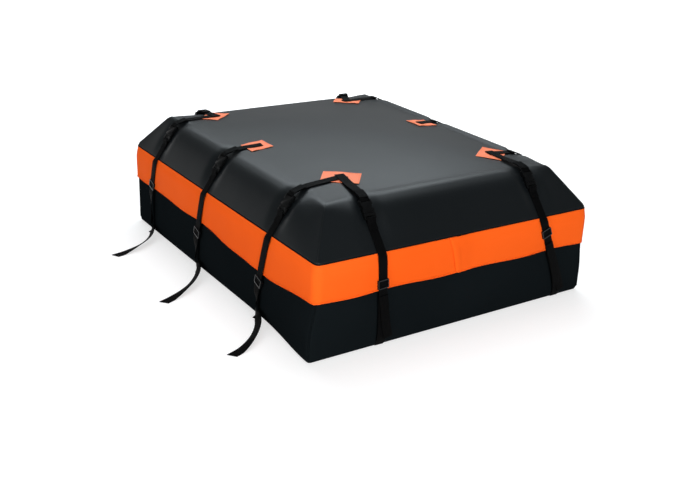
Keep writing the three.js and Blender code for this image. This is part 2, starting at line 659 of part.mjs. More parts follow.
function plugShape() {
  const plate = new THREE.ExtrudeGeometry(roundedPlate(PLUG_LENGTH, SOCKET_WIDTH, BUCKLE_RIM), {
    depth: PLUG_THICK, bevelEnabled: false, curveSegments: ROUND_CELLS,
  });
  const prongHigh = CAVITY_HEIGHT - 2 * TOUCH;
  const reach = CAVITY_WIDTH / 2 - TOUCH;
  const base = (PLUG_THICK - prongHigh) / 2;
  const tongue = [TONGUE_SHORT - PRONG_LENGTH, -TONGUE_WIDTH / 2, base];
  const parts = [plate, block(tongue, [CUT_PAST, TONGUE_WIDTH / 2, base + prongHigh])];
  for (const side of [-1, 1]) {
    const [a, b] = [side * reach, side * (reach - PRONG_WIDTH)];
    const far = [CUT_PAST, Math.max(a, b), base + prongHigh];
    parts.push(block([-PRONG_LENGTH, Math.min(a, b), base], far));
  }
  const slotEnd = PLUG_LENGTH - BAR;
  const slotFar = [slotEnd, SLOT_WIDTH / 2, PLUG_THICK + CUT_PAST];
  const slot = block([slotEnd - SLOT, -SLOT_WIDTH / 2, -CUT_PAST], slotFar);
  return geometryOf(joined(parts).subtract(solidOf(slot)));
}

function glideShape() {
  const width = SLOT_WIDTH + 2 * GLIDE_RAIL;
  const high = 2 * GLIDE_PLATE + WEB_THICK + 2 * TOUCH;
  const outline = roundedPlate(GLIDE_LENGTH, width, GLIDE_RAIL);
  let solid = solidOf(new THREE.ExtrudeGeometry(outline, {
    depth: high, bevelEnabled: false, curveSegments: ROUND_CELLS,
  }));
  const wide = SLOT_WIDTH / 2;
  const webHigh = GLIDE_PLATE + WEB_THICK + 2 * TOUCH;
  const middle = GLIDE_LENGTH / 2;
  const end = GLIDE_LENGTH + CUT_PAST;
  const inPlate = GLIDE_PLATE + CUT_PAST;
  const cuts = [
    block([-CUT_PAST, -wide, GLIDE_PLATE], [end, wide, webHigh]),
    block([-CUT_PAST, -wide, -CUT_PAST], [middle - GLIDE_BAR / 2, wide, inPlate]),
    block([middle + GLIDE_BAR / 2, -wide, -CUT_PAST], [end, wide, inPlate]),
    block([GLIDE_BAR, -wide, webHigh - CUT_PAST], [GLIDE_LENGTH - GLIDE_BAR, wide, high + CUT_PAST]),
  ];
  for (const cut of cuts) solid = solid.subtract(solidOf(cut));
  return geometryOf(solid);
}

function setOn(mesh, at, down, off) {
  const across = off.clone().cross(down);
  mesh.quaternion.setFromRotationMatrix(new THREE.Matrix4().makeBasis(down, across, off));
  mesh.position.copy(at);
}

const SOCKET = socketShape();
const PLUG = plugShape();
const GLIDE = glideShape();

function makeHardware(line) {
  const socket = addPiece(`buckle_socket_${line.name}`, SOCKET, BLACK_PLASTIC);
  setOn(socket, line.onSlope(0, SOCKET_LOW), line.down, line.off);
  const plug = addPiece(`buckle_plug_${line.name}`, PLUG, BLACK_PLASTIC);
  const plugLow = Math.max(WEB_TOP, SOCKET_LOW + (SOCKET_THICK - PLUG_THICK) / 2);
  setOn(plug, line.onSlope(SOCKET_LENGTH + TOUCH, plugLow), line.down, line.off);
  const glide = addPiece(`strap_slider_${line.name}`, GLIDE, BLACK_PLASTIC);
  const low = WEB_LIFT + GLIDE_PLATE;
  const top = line.onDrop(line.glide).addScaledVector(line.fall, -GLIDE_LENGTH / 2);
  setOn(glide, top.addScaledVector(line.out, -low), line.fall, line.out);
}

const lines = [];
for (const wall of ['left', 'right']) {
  for (const [place, at] of SIDE_STRAPS) lines.push(strapLine(wall, place, at));
}
for (const wall of ['front', 'back']) {
  for (const [place, at] of END_STRAPS) lines.push(strapLine(wall, place, at));
}
const lineOf = (name) => lines.find((line) => line.name === name);

makeTub();
makeLid();
makeFlap();
makeZipSlider('zip_slider_left', SPLIT_X - (SLIDER_LENGTH + SLIDER_APART) / 2);
makeZipSlider('zip_slider_right', SPLIT_X + (SLIDER_LENGTH + SLIDER_APART) / 2);

// A patch with the arms of the anchor strap sewn on it
function makeAnchor(name, [x, y], [long, short], turn, straps) {
  makePatch(`patch_${name}`, x, y, long, short, THREE.MathUtils.degToRad(turn));
  const arms = straps.map((strap) => anchorArm(lineOf(strap), x, y, short));
  const geometry = arms.length > 1 ? geometryOf(joined(arms)) : arms[0];
  addPiece(`anchor_strap_${name}`, geometry, BLACK_WEBBING);
}

for (const [name, [fromSide, fromEnd]] of Object.entries(PATCH_INSETS)) {
  const [side, end] = name.split('_');
  const x = (side === 'left' ? -1 : 1) * (HALF_X - fromSide);
  const y = (end === 'front' ? -1 : 1) * (HALF_Y - fromEnd);
  const size = [PATCH_LONG[end], PATCH_SHORT[end]];
  makeAnchor(name, [x, y], size, -PATCH_TURN * Math.sign(x * y), [name, `${end}_${side}`]);
}
for (const [name, [fromSide, y]] of Object.entries(MIDDLE_PATCHES)) {
  const x = (name.startsWith('left') ? -1 : 1) * (HALF_X - fromSide);
  makeAnchor(name, [x, y], [PATCH_SQUARE, PATCH_SQUARE], 0, [name]);
}

for (const line of lines) {
  makeWebbing(line);
  makeHardware(line);
}
for (const [place] of SIDE_STRAPS) makeTail(lineOf(`left_${place}`), place);

export default bag;
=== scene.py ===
# %% [markdown]
# # A roof cargo bag
# The bag is a box of coated black cloth that is strapped on a car's roof. Its lid slopes in to a stuffed,
# rounded top, an orange storm flap covers the zipper, and ten buckled webbing straps run down its walls.
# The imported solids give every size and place, and each step below dresses one of them.

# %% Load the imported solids
import math

import bmesh
import bpy
from mathutils import Matrix, Vector, noise


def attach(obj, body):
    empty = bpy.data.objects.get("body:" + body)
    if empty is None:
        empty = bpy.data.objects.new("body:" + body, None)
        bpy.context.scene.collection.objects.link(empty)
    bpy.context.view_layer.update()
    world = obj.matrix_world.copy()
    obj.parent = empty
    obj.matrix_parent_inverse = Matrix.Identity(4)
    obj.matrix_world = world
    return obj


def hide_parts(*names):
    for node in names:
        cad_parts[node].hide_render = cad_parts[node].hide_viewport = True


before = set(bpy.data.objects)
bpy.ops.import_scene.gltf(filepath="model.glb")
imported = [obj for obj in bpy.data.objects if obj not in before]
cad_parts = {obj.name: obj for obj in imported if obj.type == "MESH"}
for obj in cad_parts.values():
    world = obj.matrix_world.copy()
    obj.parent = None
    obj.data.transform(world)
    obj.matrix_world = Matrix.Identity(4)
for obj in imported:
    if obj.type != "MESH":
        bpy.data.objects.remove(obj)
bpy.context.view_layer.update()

# %% [markdown]
# The camera comes first, because every later choice is judged through it. Its place was worked out from
# where the bag's corners and straps stand in the picture, and it is tipped by a few degrees, as there.

# %% Camera
AZIMUTH = math.radians(-34.04)
ELEVATION = math.radians(21.75)
TILT = math.radians(2.47)
DISTANCE = 2.6475
LOOKED_AT = Vector((-0.169, -0.2793, 0.17))
FOCAL_PIXELS, PICTURE_WIDE, SENSOR = 1012.8, 700, 36.0

towards_camera = Vector((
    math.sin(AZIMUTH) * math.cos(ELEVATION),
    -math.cos(AZIMUTH) * math.cos(ELEVATION),
    math.sin(ELEVATION),
))
level_right = towards_camera.cross(Vector((0, 0, -1))).normalized()
level_up = towards_camera.cross(level_right)
camera_right = math.cos(TILT) * level_right + math.sin(TILT) * level_up
camera_up = math.cos(TILT) * level_up - math.sin(TILT) * level_right
bpy.ops.object.camera_add(location=LOOKED_AT + towards_camera * DISTANCE)
camera = bpy.context.object
camera.rotation_euler = Matrix((camera_right, camera_up, towards_camera)).transposed().to_euler()
camera.data.sensor_width = SENSOR
camera.data.lens = FOCAL_PIXELS * SENSOR / PICTURE_WIDE
bpy.context.scene.camera = camera
bpy.context.scene.view_settings.view_transform = "Standard"
print("lens", round(camera.data.lens, 1), "mm")

# %% [markdown]
# Everything is made at the bag's real size in metres. These are the sizes that the solids were drawn with.

# %% Sizes of the bag
HALF_X, HALF_Y = 0.425, 0.5285
CORNER = 0.010
FLOOR_EDGE = 0.008
ZIP_LINE, TUB_RIM, HIP, CROWN = 0.206, 0.210, 0.246, 0.348
SIDE_SLOPE, END_SLOPE = 0.072, 0.088
CORNER_SOFT, LEFT_SOFT, RIGHT_SOFT, END_SOFT, CROWN_RISE = 0.12, 0.50, 0.14, 0.34, 0.021
FLAP_TOP, FLAP_HEM = 0.242, 0.147
SPLIT_X, FLAP_LAP = -0.045, 0.024
WEB_WIDE, WEB_THICK = 0.025, 0.0014
GAP = 0.0003
WEB_LIFT = GAP + WEB_THICK / 2
WEB_OUT = 0.0099
UP = Vector((0, 0, 1))

# %% [markdown]
# The straps are laid out next, since cloth, buckles and tails all look up where a strap runs. Each one is
# given by its wall, its place along that wall, how far it leans, and the height of its slider.

# %% Strap layout
STRAPS = {
    "left_front": ("left", -0.312, 18, 0.104),
    "left_middle": ("left", 0.048, 18, 0.112),
    "left_back": ("left", 0.374, 18, 0.156),
    "right_front": ("right", -0.312, 0, 0.150),
    "right_middle": ("right", 0.048, 0, 0.150),
    "right_back": ("right", 0.374, 0, 0.150),
    "front_left": ("front", -0.248, 4, 0.163),
    "front_right": ("front", 0.266, 21, 0.199),
    "back_left": ("back", -0.248, 0, 0.150),
    "back_right": ("back", 0.266, 0, 0.150),
}
OUTWARD = {"left": (-1, 0, 0), "right": (1, 0, 0), "front": (0, -1, 0), "back": (0, 1, 0)}
BUCKLE_DROPS = {"left": 0.016, "right": 0.016, "front": 0.004, "back": 0.004}


class Strap:
    """Lines of a strap: down and off on the slope, fall and wide on the wall, with the knee between."""

    def __init__(self, name):
        wall, place, lean, self.slider = STRAPS[name]
        self.wall, self.place = wall, place
        self.out = Vector(OUTWARD[wall])
        on_side = wall in ("left", "right")
        self.along = Vector((0, 1, 0)) if on_side else Vector((1, 0, 0))
        self.half = HALF_X if on_side else HALF_Y
        inset = SIDE_SLOPE if on_side else END_SLOPE
        length = math.hypot(inset, CROWN - HIP)
        self.down = (self.out * inset - UP * (CROWN - HIP)) / length
        self.off = (self.out * (CROWN - HIP) + UP * inset) / length
        turn = math.radians(lean)
        self.fall = self.along * math.sin(turn) - UP * math.cos(turn)
        self.wide = self.along * math.cos(turn) + UP * math.sin(turn)
        self.crown = self.on_wall(place, -inset, CROWN)
        stand = self.on_slope(0, WEB_LIFT).dot(self.out) - self.half
        self.slope_run = (WEB_OUT - stand) / self.down.dot(self.out)
        self.knee = self.on_slope(self.slope_run, WEB_LIFT)
        self.cos = math.cos(turn)

    def on_wall(self, place, stand, height):
        point = self.out * (self.half + stand) + self.along * place
        return Vector((point.x, point.y, height))

    def on_slope(self, run, lift):
        return self.crown + self.down * (run + BUCKLE_DROPS[self.wall]) + self.off * lift

    def on_drop(self, height):
        return self.knee + self.fall * ((self.knee.z - height) / self.cos)


straps = {name: Strap(name) for name in STRAPS}
print("straps", len(straps), "knee of the first", [round(v, 4) for v in straps["left_front"].knee])

# %% [markdown]
# A few small helpers carry most of the modelling. An operator acts on all that is selected, so the selection
# is cleared or set first. The main helper lays a grid over a surface: a grid primitive is added, and each of
# its vertices is moved to the place that a rule gives for its share across and its share down. Its UV map is
# scaled to metres, so that a weave drawn on it has its true size.

# %% Helpers
def clear_selection():
    bpy.ops.object.select_all(action="DESELECT")


def select_only(piece):
    clear_selection()
    bpy.context.view_layer.objects.active = piece
    piece.select_set(True)


def weld(piece, distance, flat=None):
    """Merge vertices that lie together, and dissolve edges that bend less than the flat angle."""
    shell = bmesh.new()
    shell.from_mesh(piece.data)
    bmesh.ops.remove_doubles(shell, verts=shell.verts, dist=distance)
    if flat:
        bmesh.ops.dissolve_limit(shell, angle_limit=flat, verts=shell.verts, edges=shell.edges)
    shell.to_mesh(piece.data)
    shell.free()


def laid_grid(name, columns, rows, rule, size, closed=False):
    clear_selection()
    bpy.ops.mesh.primitive_grid_add(x_subdivisions=columns, y_subdivisions=rows, size=1)
    piece = bpy.context.object
    piece.name = piece.data.name = name
    for loop in piece.data.uv_layers.active.data:
        loop.uv = (loop.uv[0] * size[0], loop.uv[1] * size[1])
    for vertex in piece.data.vertices:
        vertex.co = rule(vertex.co.x + 0.5, vertex.co.y + 0.5)
    if closed:
        weld(piece, 1e-5)
    piece.location = (0, 0, 0)
    bpy.ops.object.shade_smooth()
    return piece


def add_modifier(piece, kind, **settings):
    modifier = piece.modifiers.new(kind.title(), kind)
    for key, value in settings.items():
        setattr(modifier, key, value)
    select_only(piece)
    bpy.ops.object.modifier_apply(modifier=modifier.name)


def rounded_edges(piece, width, angle=1.0):
    add_modifier(piece, "BEVEL", width=width, segments=2, limit_method="ANGLE", angle_limit=angle)


def filled_piece(name, shell):
    """A new object that holds a finished bmesh."""
    clear_selection()
    bpy.ops.mesh.primitive_cube_add(size=1)
    piece = bpy.context.object
    piece.name = piece.data.name = name
    shell.to_mesh(piece.data)
    shell.free()
    return piece


def copy_of(model, name):
    piece = model.copy()
    piece.data = model.data.copy()
    piece.name = piece.data.name = name
    bpy.context.scene.collection.objects.link(piece)
    return piece


def dressed(piece, material, body="bag"):
    piece.data.materials.clear()
    piece.data.materials.append(material)
    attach(piece, body)
    return piece


def running_lengths(points):
    """Length from the first point to each one."""
    run = [0.0]
    for a, b in zip(points, points[1:]):
        run.append(run[-1] + (b - a).length)
    return run


def axes_matrix(*axes):
    return Matrix(axes).transposed().to_4x4()


def ease(share):
    share = min(1.0, max(0.0, share))
    return share * share * (3 - 2 * share)


def blurred(point, scale, seed):
    """Smooth noise from -1 to 1 whose swells are about scale wide."""
    return noise.noise(Vector((point.x / scale + seed, point.y / scale - seed, point.z / scale + 2 * seed)))


print("helpers ready")

# %% [markdown]
# The finishes are node materials. Coated cloth is smooth and dark with a faint grain and a soft sheen; the
# orange cloth is duller and a little uneven; webbing shows fine ribs across its length, drawn on its UV map;
# moulded plastic has a fine spark-eroded grain.

# %% Material helper
def new_material(name, colour, roughness, **sockets):
    material = bpy.data.materials.new(name)
    material.use_nodes = True
    shader = material.node_tree.nodes["Principled BSDF"]
    shader.inputs["Base Color"].default_value = (*colour, 1)
    shader.inputs["Roughness"].default_value = roughness
    for socket, value in sockets.items():
        shader.inputs[socket.replace("_", " ")].default_value = value
    return material, material.node_tree, shader


def texture(tree, kind, source, scale, **inputs):
    place = tree.nodes.new("ShaderNodeTexCoord")
    node = tree.nodes.new(kind)
    tree.links.new(place.outputs[source], node.inputs["Vector"])
    node.inputs["Scale"].default_value = scale
    for key, value in inputs.items():
        node.inputs[key].default_value = value
    return node


def mottled(tree, shader, pattern, dark, light):
    ramp = tree.nodes.new("ShaderNodeValToRGB")
    ramp.color_ramp.elements[0].position, ramp.color_ramp.elements[1].position = 0.3, 0.7
    ramp.color_ramp.elements[0].color = (*dark, 1)
    ramp.color_ramp.elements[1].color = (*light, 1)
    tree.links.new(pattern, ramp.inputs["Fac"])
    tree.links.new(ramp.outputs["Color"], shader.inputs["Base Color"])


def rough_between(tree, shader, pattern, low, high):
    span = tree.nodes.new("ShaderNodeMapRange")
    span.inputs["To Min"].default_value = low
    span.inputs["To Max"].default_value = high
    tree.links.new(pattern, span.inputs["Value"])
    tree.links.new(span.outputs["Result"], shader.inputs["Roughness"])


def bumped(tree, shader, heights):
    last = None
    for height, strength, distance in heights:
        bump = tree.nodes.new("ShaderNodeBump")
        bump.inputs["Strength"].default_value = strength
        bump.inputs["Distance"].default_value = distance
        tree.links.new(height, bump.inputs["Height"])
        if last:
            tree.links.new(last.outputs["Normal"], bump.inputs["Normal"])
        last = bump
    tree.links.new(last.outputs["Normal"], shader.inputs["Normal"])


# %% Coated cloth, black and orange
def coated_cloth(name, dark, light, rough, specular):
    material, tree, shader = new_material(name, light, rough[0], Specular_IOR_Level=specular)
    drift = texture(tree, "ShaderNodeTexNoise", "Object", 3.0, Detail=3.0)
    grain = texture(tree, "ShaderNodeTexNoise", "Object", 900.0, Detail=2.0)
    creases = texture(tree, "ShaderNodeTexNoise", "Object", 26.0, Detail=4.0)
    mottled(tree, shader, drift.outputs["Fac"], dark, light)
    rough_between(tree, shader, drift.outputs["Fac"], *rough)
    bumped(tree, shader, [(creases.outputs["Fac"], 0.25, 0.0008), (grain.outputs["Fac"], 0.35, 0.0002)])
    return material


lid_cloth = coated_cloth(
    "black_lid_cloth", (0.0036, 0.0050, 0.0059), (0.0046, 0.0062, 0.0073), rough=(0.36, 0.44), specular=0.15)
tub_cloth = coated_cloth(
    "black_tub_cloth", (0.0052, 0.0070, 0.0081), (0.0063, 0.0086, 0.0099), rough=(0.50, 0.60), specular=0.0)
orange_cloth = coated_cloth(
    "orange_coated_cloth", (0.88, 0.104, 0.008), (0.95, 0.124, 0.012), rough=(0.55, 0.65), specular=0.03)
patch_cloth = coated_cloth(
    "orange_patch_cloth", (0.90, 0.21, 0.09), (0.95, 0.24, 0.11), rough=(0.50, 0.60), specular=0.15)


# %% Webbing
RIBS_ACROSS, RIBS_ALONG = 0.0016, 0.0026
WAVE_PERIOD = math.pi / 10


def webbing_material():
    material, tree, shader = new_material(
        "black_webbing", (0.0015, 0.0015, 0.0017), 0.6, Specular_IOR_Level=0.02)
    coords = tree.nodes.new("ShaderNodeTexCoord")
    ribs = []
    for direction, spacing in (("Y", RIBS_ACROSS), ("X", RIBS_ALONG)):
        wave = tree.nodes.new("ShaderNodeTexWave")
        wave.bands_direction = direction
        wave.inputs["Scale"].default_value = WAVE_PERIOD / spacing
        wave.inputs["Distortion"].default_value = 0.4
        tree.links.new(coords.outputs["UV"], wave.inputs["Vector"])
        ribs.append(wave.outputs["Fac"])
    mottled(tree, shader, ribs[0], (0.0008, 0.0008, 0.0009), (0.0026, 0.0027, 0.0029))
    bumped(tree, shader, [(ribs[0], 0.5, 0.0004), (ribs[1], 0.4, 0.0003)])
    return material


webbing_cloth = webbing_material()


# %% Plastic, zipper metal and thread
ROUGH_SPREAD = 0.06


def plain_material(name, colour, roughness, grain_scale, strength, **sockets):
    material, tree, shader = new_material(name, colour, roughness, **sockets)
    grain = texture(tree, "ShaderNodeTexNoise", "Object", grain_scale, Detail=3.0)
    rough_between(tree, shader, grain.outputs["Fac"], roughness - ROUGH_SPREAD, roughness + ROUGH_SPREAD)
    bumped(tree, shader, [(grain.outputs["Fac"], strength, 0.0002)])
    return material


black_plastic = plain_material(
    "black_plastic", (0.0025, 0.0028, 0.003), 0.30, 1400.0, 0.25, Specular_IOR_Level=0.10)
slider_edge = plain_material(
    "worn_black_plastic", (0.004, 0.0043, 0.0046), 0.26, 1400.0, 0.2, Specular_IOR_Level=0.22)
dark_metal = plain_material("dark_zipper_metal", (0.10, 0.10, 0.105), 0.34, 900.0, 0.2, Metallic=1.0)
orange_thread = plain_material("orange_thread", (0.80, 0.13, 0.04), 0.7, 2500.0, 0.4)
print("materials", len(bpy.data.materials))

# %% [markdown]
# A strap is a flat ribbon. Its route is a list of points, each with the direction of the strap's width
# there. A smooth curve is drawn through them, the ribbon is laid along it as a grid, and Solidify gives it
# the thickness of webbing. A small bevel rounds its woven edges.

# %% Ribbon helper
STATION_STEP, FINE_STEP, FOLD_STEP = 0.004, 0.003, 0.0015
WEB_COLUMNS, WEB_ROUNDED = 4, 0.3 * WEB_THICK


def smooth_route(points, step=STATION_STEP):
    """Points and widths at about every step of a smooth curve through the given ones."""
    ends = [points[0]] + list(points) + [points[-1]]
    route = []
    for a, b, c, d in zip(ends, ends[1:], ends[2:], ends[3:]):
        chord = (c[0] - b[0]).length or 1.0
        before = (b[0] - a[0]).length or chord
        after = (d[0] - c[0]).length or chord
        pieces = max(1, round((c[0] - b[0]).length / step))
        for i in range(pieces):
            t = i / pieces
            mixed = []
            for k in (0, 1):
                start = ((b[k] - a[k]) * chord / before + (c[k] - b[k])) / 2
                end = ((d[k] - c[k]) * chord / after + (c[k] - b[k])) / 2
                mixed.append(b[k].lerp(c[k], ease(t)) + start * (t * (1 - t) ** 2) - end * (t * t * (1 - t)))
            route.append((mixed[0], mixed[1].normalized()))
    route.append((points[-1][0].copy(), points[-1][1].normalized()))
    return route


def ribbon(name, route, body="bag", cut=0.0):
    """Webbing along a route, and its length; cut is how far its end slants over its width."""
    last = len(route) - 1

    def place(u, v):
        i = round(v * last)
        at, wide = route[i]
        ahead = (route[min(i + 1, last)][0] - route[max(i - 1, 0)][0]).normalized()
        wide = (wide - ahead * wide.dot(ahead)).normalized()
        slant = ahead * cut * (u - 0.5) if i == last else Vector()
        return at + wide * (u - 0.5) * WEB_WIDE + slant

    length = running_lengths([at for at, _ in route])[-1]
    strip = laid_grid(name, WEB_COLUMNS, last, place, (WEB_WIDE, length))
    add_modifier(strip, "SOLIDIFY", thickness=WEB_THICK, offset=0.0)
    rounded_edges(strip, WEB_ROUNDED)
    return dressed(strip, webbing_cloth, body=body), length


# %% [markdown]
# Three straps on the left wall end in loose tails that hang to the ground and lie there. They are cords: a
# tail has the length that shows, turns from flat on the wall to flat on the floor, and ends in a slant cut.

# %% Loose tails
TAIL_ROUTES = {
    "front": (
        (-0.441, -0.272), (-0.454, -0.306), (-0.478, -0.342),
        (-0.508, -0.374), (-0.542, -0.399), (-0.583, -0.416)),
    "middle": (
        (-0.441, 0.076), (-0.453, 0.046), (-0.476, 0.014),
        (-0.506, -0.017), (-0.548, -0.046), (-0.606, -0.072)),
    "back": (
        (-0.441, 0.397), (-0.453, 0.370), (-0.476, 0.340),
        (-0.506, 0.315), (-0.548, 0.295), (-0.603, 0.282)),
}
TAIL_START, TAIL_DROP, TAIL_TWIST = 0.0454, 0.016, 0.75
TAIL_TURNED, TAIL_FLAT, TAIL_CLEAR = 0.6, 0.9, 0.005
TAIL_EDGE, TAIL_UNTURNS, TAIL_UNTURNED = math.radians(34), 0.2, 0.6
TAIL_STEPS, CURVE_STEPS, TAIL_SLANT = 36, 40, 0.008
GLIDE_REACH = 0.030


def turned(strap, share):
    """The strap's width, turned about the upright by a share of TAIL_EDGE."""
    return strap.along * math.cos(TAIL_EDGE * share) - strap.out * math.sin(TAIL_EDGE * share)


def mixed_at(a, b, t, low, high):
    return a * ((high - t) / (high - low)) + b * ((t - low) / (high - low))


def centripetal(points):
    """Evenly spaced points of a centripetal Catmull-Rom curve, as the solid's own route."""
    ends = [points[0] * 2 - points[1]] + points + [points[-1] * 2 - points[-2]]
    fine = []
    for near in zip(ends, ends[1:], ends[2:], ends[3:]):
        knots = [0.0]
        for a, b in zip(near, near[1:]):
            knots.append(knots[-1] + math.sqrt((b - a).length))
        for i in range(CURVE_STEPS):
            t = knots[1] + (knots[2] - knots[1]) * i / CURVE_STEPS
            p = [mixed_at(near[k], near[k + 1], t, knots[k], knots[k + 1]) for k in range(3)]
            q = [mixed_at(p[k], p[k + 1], t, knots[k], knots[k + 2]) for k in range(2)]
            fine.append(mixed_at(*q, t, knots[1], knots[2]))
    fine.append(points[-1].copy())
    run = running_lengths(fine)
    even, k = [], 0
    for i in range(TAIL_STEPS + 1):
        goal = run[-1] * i / TAIL_STEPS
        while k < len(run) - 2 and run[k + 1] < goal:
            k += 1
        part = (goal - run[k]) / max(1e-9, run[k + 1] - run[k])
        even.append(fine[k].lerp(fine[k + 1], min(1.0, part)))
    return even


for place, flat_route in TAIL_ROUTES.items():
    strap = straps[f"left_{place}"]
    start = strap.on_drop(strap.slider - GLIDE_REACH)
    start.z, start.x = TAIL_START, -HALF_X - WEB_OUT
    points = [start, start - UP * TAIL_DROP] + [Vector((x, y, WEB_LIFT)) for x, y in flat_route]
    even = centripetal(points)
    route = []
    for i, at in enumerate(even):
        share = i / TAIL_STEPS
        ahead = (even[min(i + 1, TAIL_STEPS)] - even[max(i - 1, 0)]).normalized()
        flat = Vector((ahead.y, -ahead.x, 0)).normalized()
        left = 1 - ease((share - TAIL_UNTURNS) / (TAIL_UNTURNED - TAIL_UNTURNS))
        wide = turned(strap, left).lerp(flat, min(1, share / TAIL_TURNED))
        wide -= UP * TAIL_TWIST * math.sin(math.pi * min(1, share / TAIL_FLAT))
        wide = (wide - ahead * wide.dot(ahead)).normalized()
        at = Vector((at.x, at.y, max(at.z, WEB_LIFT + abs(wide.z) * (WEB_WIDE / 2 + TAIL_CLEAR))))
        route.append((at, wide))
    tail, tail_length = ribbon(f"loose_tail_{place}", route, cut=TAIL_SLANT)
    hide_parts(f"strap_tail_{place}")
    print("tail", place, round(tail_length, 3), "m")

# %% [markdown]
# The lid is one sewn shell. Its shape is a rule for the height over any point of the bag, softened at the
# crown, and a closed grid is laid round it: the columns run round the bag and the rows run from the skirt
# over the hip, up the slope and in to the middle. That keeps every row level, as the cloth's threads are.

# %% Shape of the lid
def slope_share(t, soft):
    if t <= 1 - soft:
        return t
    if t >= 1 + soft:
        return 1.0
    return t - (t - 1 + soft) ** 2 / (4 * soft)


def lid_height(x, y):
    tx = (HALF_X - abs(x)) / SIDE_SLOPE
    ty = (HALF_Y - abs(y)) / END_SLOPE
    stiff = 1 - ease(abs(tx - ty))
    soft = (LEFT_SOFT if x < 0 else RIGHT_SOFT) if tx < ty else END_SOFT
    soft += (CORNER_SOFT - soft) * stiff
    bow_x = max(0.0, 1 - (x / (HALF_X - SIDE_SLOPE)) ** 2)
    bow_y = max(0.0, 1 - (y / (HALF_Y - END_SLOPE)) ** 2)
    return HIP + (CROWN - HIP) * slope_share(min(tx, ty), soft) + CROWN_RISE * bow_x * bow_y


def lid_tilt(at, across):
    """The direction across, tipped so that webbing lies along the lid."""
    half = WEB_WIDE / 2
    high, low = (lid_height(at.x + across.x * d, at.y + across.y * d) for d in (half, -half))
    return Vector((across.x, across.y, (high - low) / WEB_WIDE)).normalized()


STRAIGHTS = [2 * (HALF_X - CORNER), 2 * (HALF_Y - CORNER)] * 2
ARC = CORNER * math.pi / 2
SIDES = [((0, -1), (1, 0)), ((1, 0), (0, 1)), ((0, 1), (-1, 0)), ((-1, 0), (0, -1))]
WALL_RUN = 4 * (HALF_X + HALF_Y - 2 * CORNER) + 2 * math.pi * CORNER
WALL_ORDER = {"front": (0, 1), "right": (1, 1), "back": (2, -1), "left": (3, -1)}
CORNER_STEPS = 4


def wall_loop(u):
    """Point and outward direction at a share round the four walls, from the front wall's left end."""
    goal = (u % 1.0) * (sum(STRAIGHTS) + 4 * ARC)
    for (out, along), length in zip(SIDES, STRAIGHTS):
        out, along = Vector((*out, 0)), Vector((*along, 0))
        half = abs(out.x) * HALF_X + abs(out.y) * HALF_Y
        if goal <= length:
            return out * half + along * (goal - length / 2), out
        goal -= length
        if goal <= ARC:
            turn = goal / CORNER
            normal = out * math.cos(turn) + along * math.sin(turn)
            return out * (half - CORNER) + along * (length / 2) + normal * CORNER, normal
        goal -= ARC
    return wall_loop(0.0)


def wall_share(wall, place):
    """Share round the walls of a place along one of them."""
    passed, sign = WALL_ORDER[wall]
    middle = (passed + 1) * (HALF_X - CORNER) + passed * (HALF_Y - CORNER + ARC)
    return (middle + sign * place) / WALL_RUN


def loop_shares(step):
    """Shares round the walls: even steps along each wall and a few more round each corner."""
    shares, run = [], 0.0
    for length in STRAIGHTS:
        count = round(length / step)
        shares += [(run + length * i / count) / WALL_RUN for i in range(count)]
        run += length
        shares += [(run + ARC * i / CORNER_STEPS) / WALL_RUN for i in range(CORNER_STEPS)]
        run += ARC
    return shares + [1.0]


def strap_near(u, height, reach=0.035):
    """1 where a strap crosses the walls at this share and height, falling to 0 away from it."""
    best = 0.0
    for strap in straps.values():
        place = strap.on_drop(min(height, strap.knee.z)).dot(strap.along)
        away = abs((u - wall_share(strap.wall, place) + 0.5) % 1.0 - 0.5) * WALL_RUN
        best = max(best, math.exp(-((away / reach) ** 4)))
    return best


print("round the walls", round(WALL_RUN, 3), "m")

# %% [markdown]
# Stuffed cloth is never quite flat. Between its straps a slope swells and ripples a little, and the middle of
# the top carries broad soft waves. Each is a small move outwards, which fades to nothing under the straps, at
# the patches and at the seams that hold the cloth down.

# %% Lid
LID_STEP, WALL_STEP = 0.010, 0.012
LID_SKIN, TUB_SKIN, FLAP_SKIN, PATCH_SKIN = 0.0022, 0.0025, 0.0014, 0.0011
SLOPE_ROWS, TOP_ROWS = 30, 26
SLOPE_ROWS_END = 1.5
SKIRT_FOOT = TUB_RIM + GAP
SIDE_SWELL, FRONT_SWELL, BACK_SWELL, TOP_WAVE = 0.0095, 0.0090, 0.0020, 0.0010
SLOPE_RIPPLE, RIPPLE_WIDE, TOP_WAVE_WIDE = 0.0006, 0.09, 0.16
CREASE_SHARE, CROWN_FADE, TOP_FADE, HELD_REACH = 0.30, 0.4, 0.1, 0.07
lid_shares = loop_shares(LID_STEP)
lid_rows = [("skirt", t) for t in (0.0, 0.3, 0.6, 0.85, 0.96)] + [("slope", t) for t in (0.0, 0.012)]
lid_rows += [("slope", SLOPE_ROWS_END * (i + 1) / SLOPE_ROWS) for i in range(SLOPE_ROWS - 1)]
lid_rows += [("top", i / TOP_ROWS) for i in range(TOP_ROWS + 1)]
PATCH_PLACES = {
    "left_front": (0.206 - HALF_X, 0.228 - HALF_Y), "right_front": (HALF_X - 0.152, 0.226 - HALF_Y),
    "left_back": (0.185 - HALF_X, HALF_Y - 0.158), "right_back": (HALF_X - 0.196, HALF_Y - 0.166),
    "left_middle": (0.146 - HALF_X, 0.030), "right_middle": (HALF_X - 0.144, 0.030),
}


def held_down(point):
    """1 at the middle of a patch, falling to 0 away from it."""
    away = min((point.x - x) ** 2 + (point.y - y) ** 2 for x, y in PATCH_PLACES.values())
    return math.exp(-away / HELD_REACH ** 2)


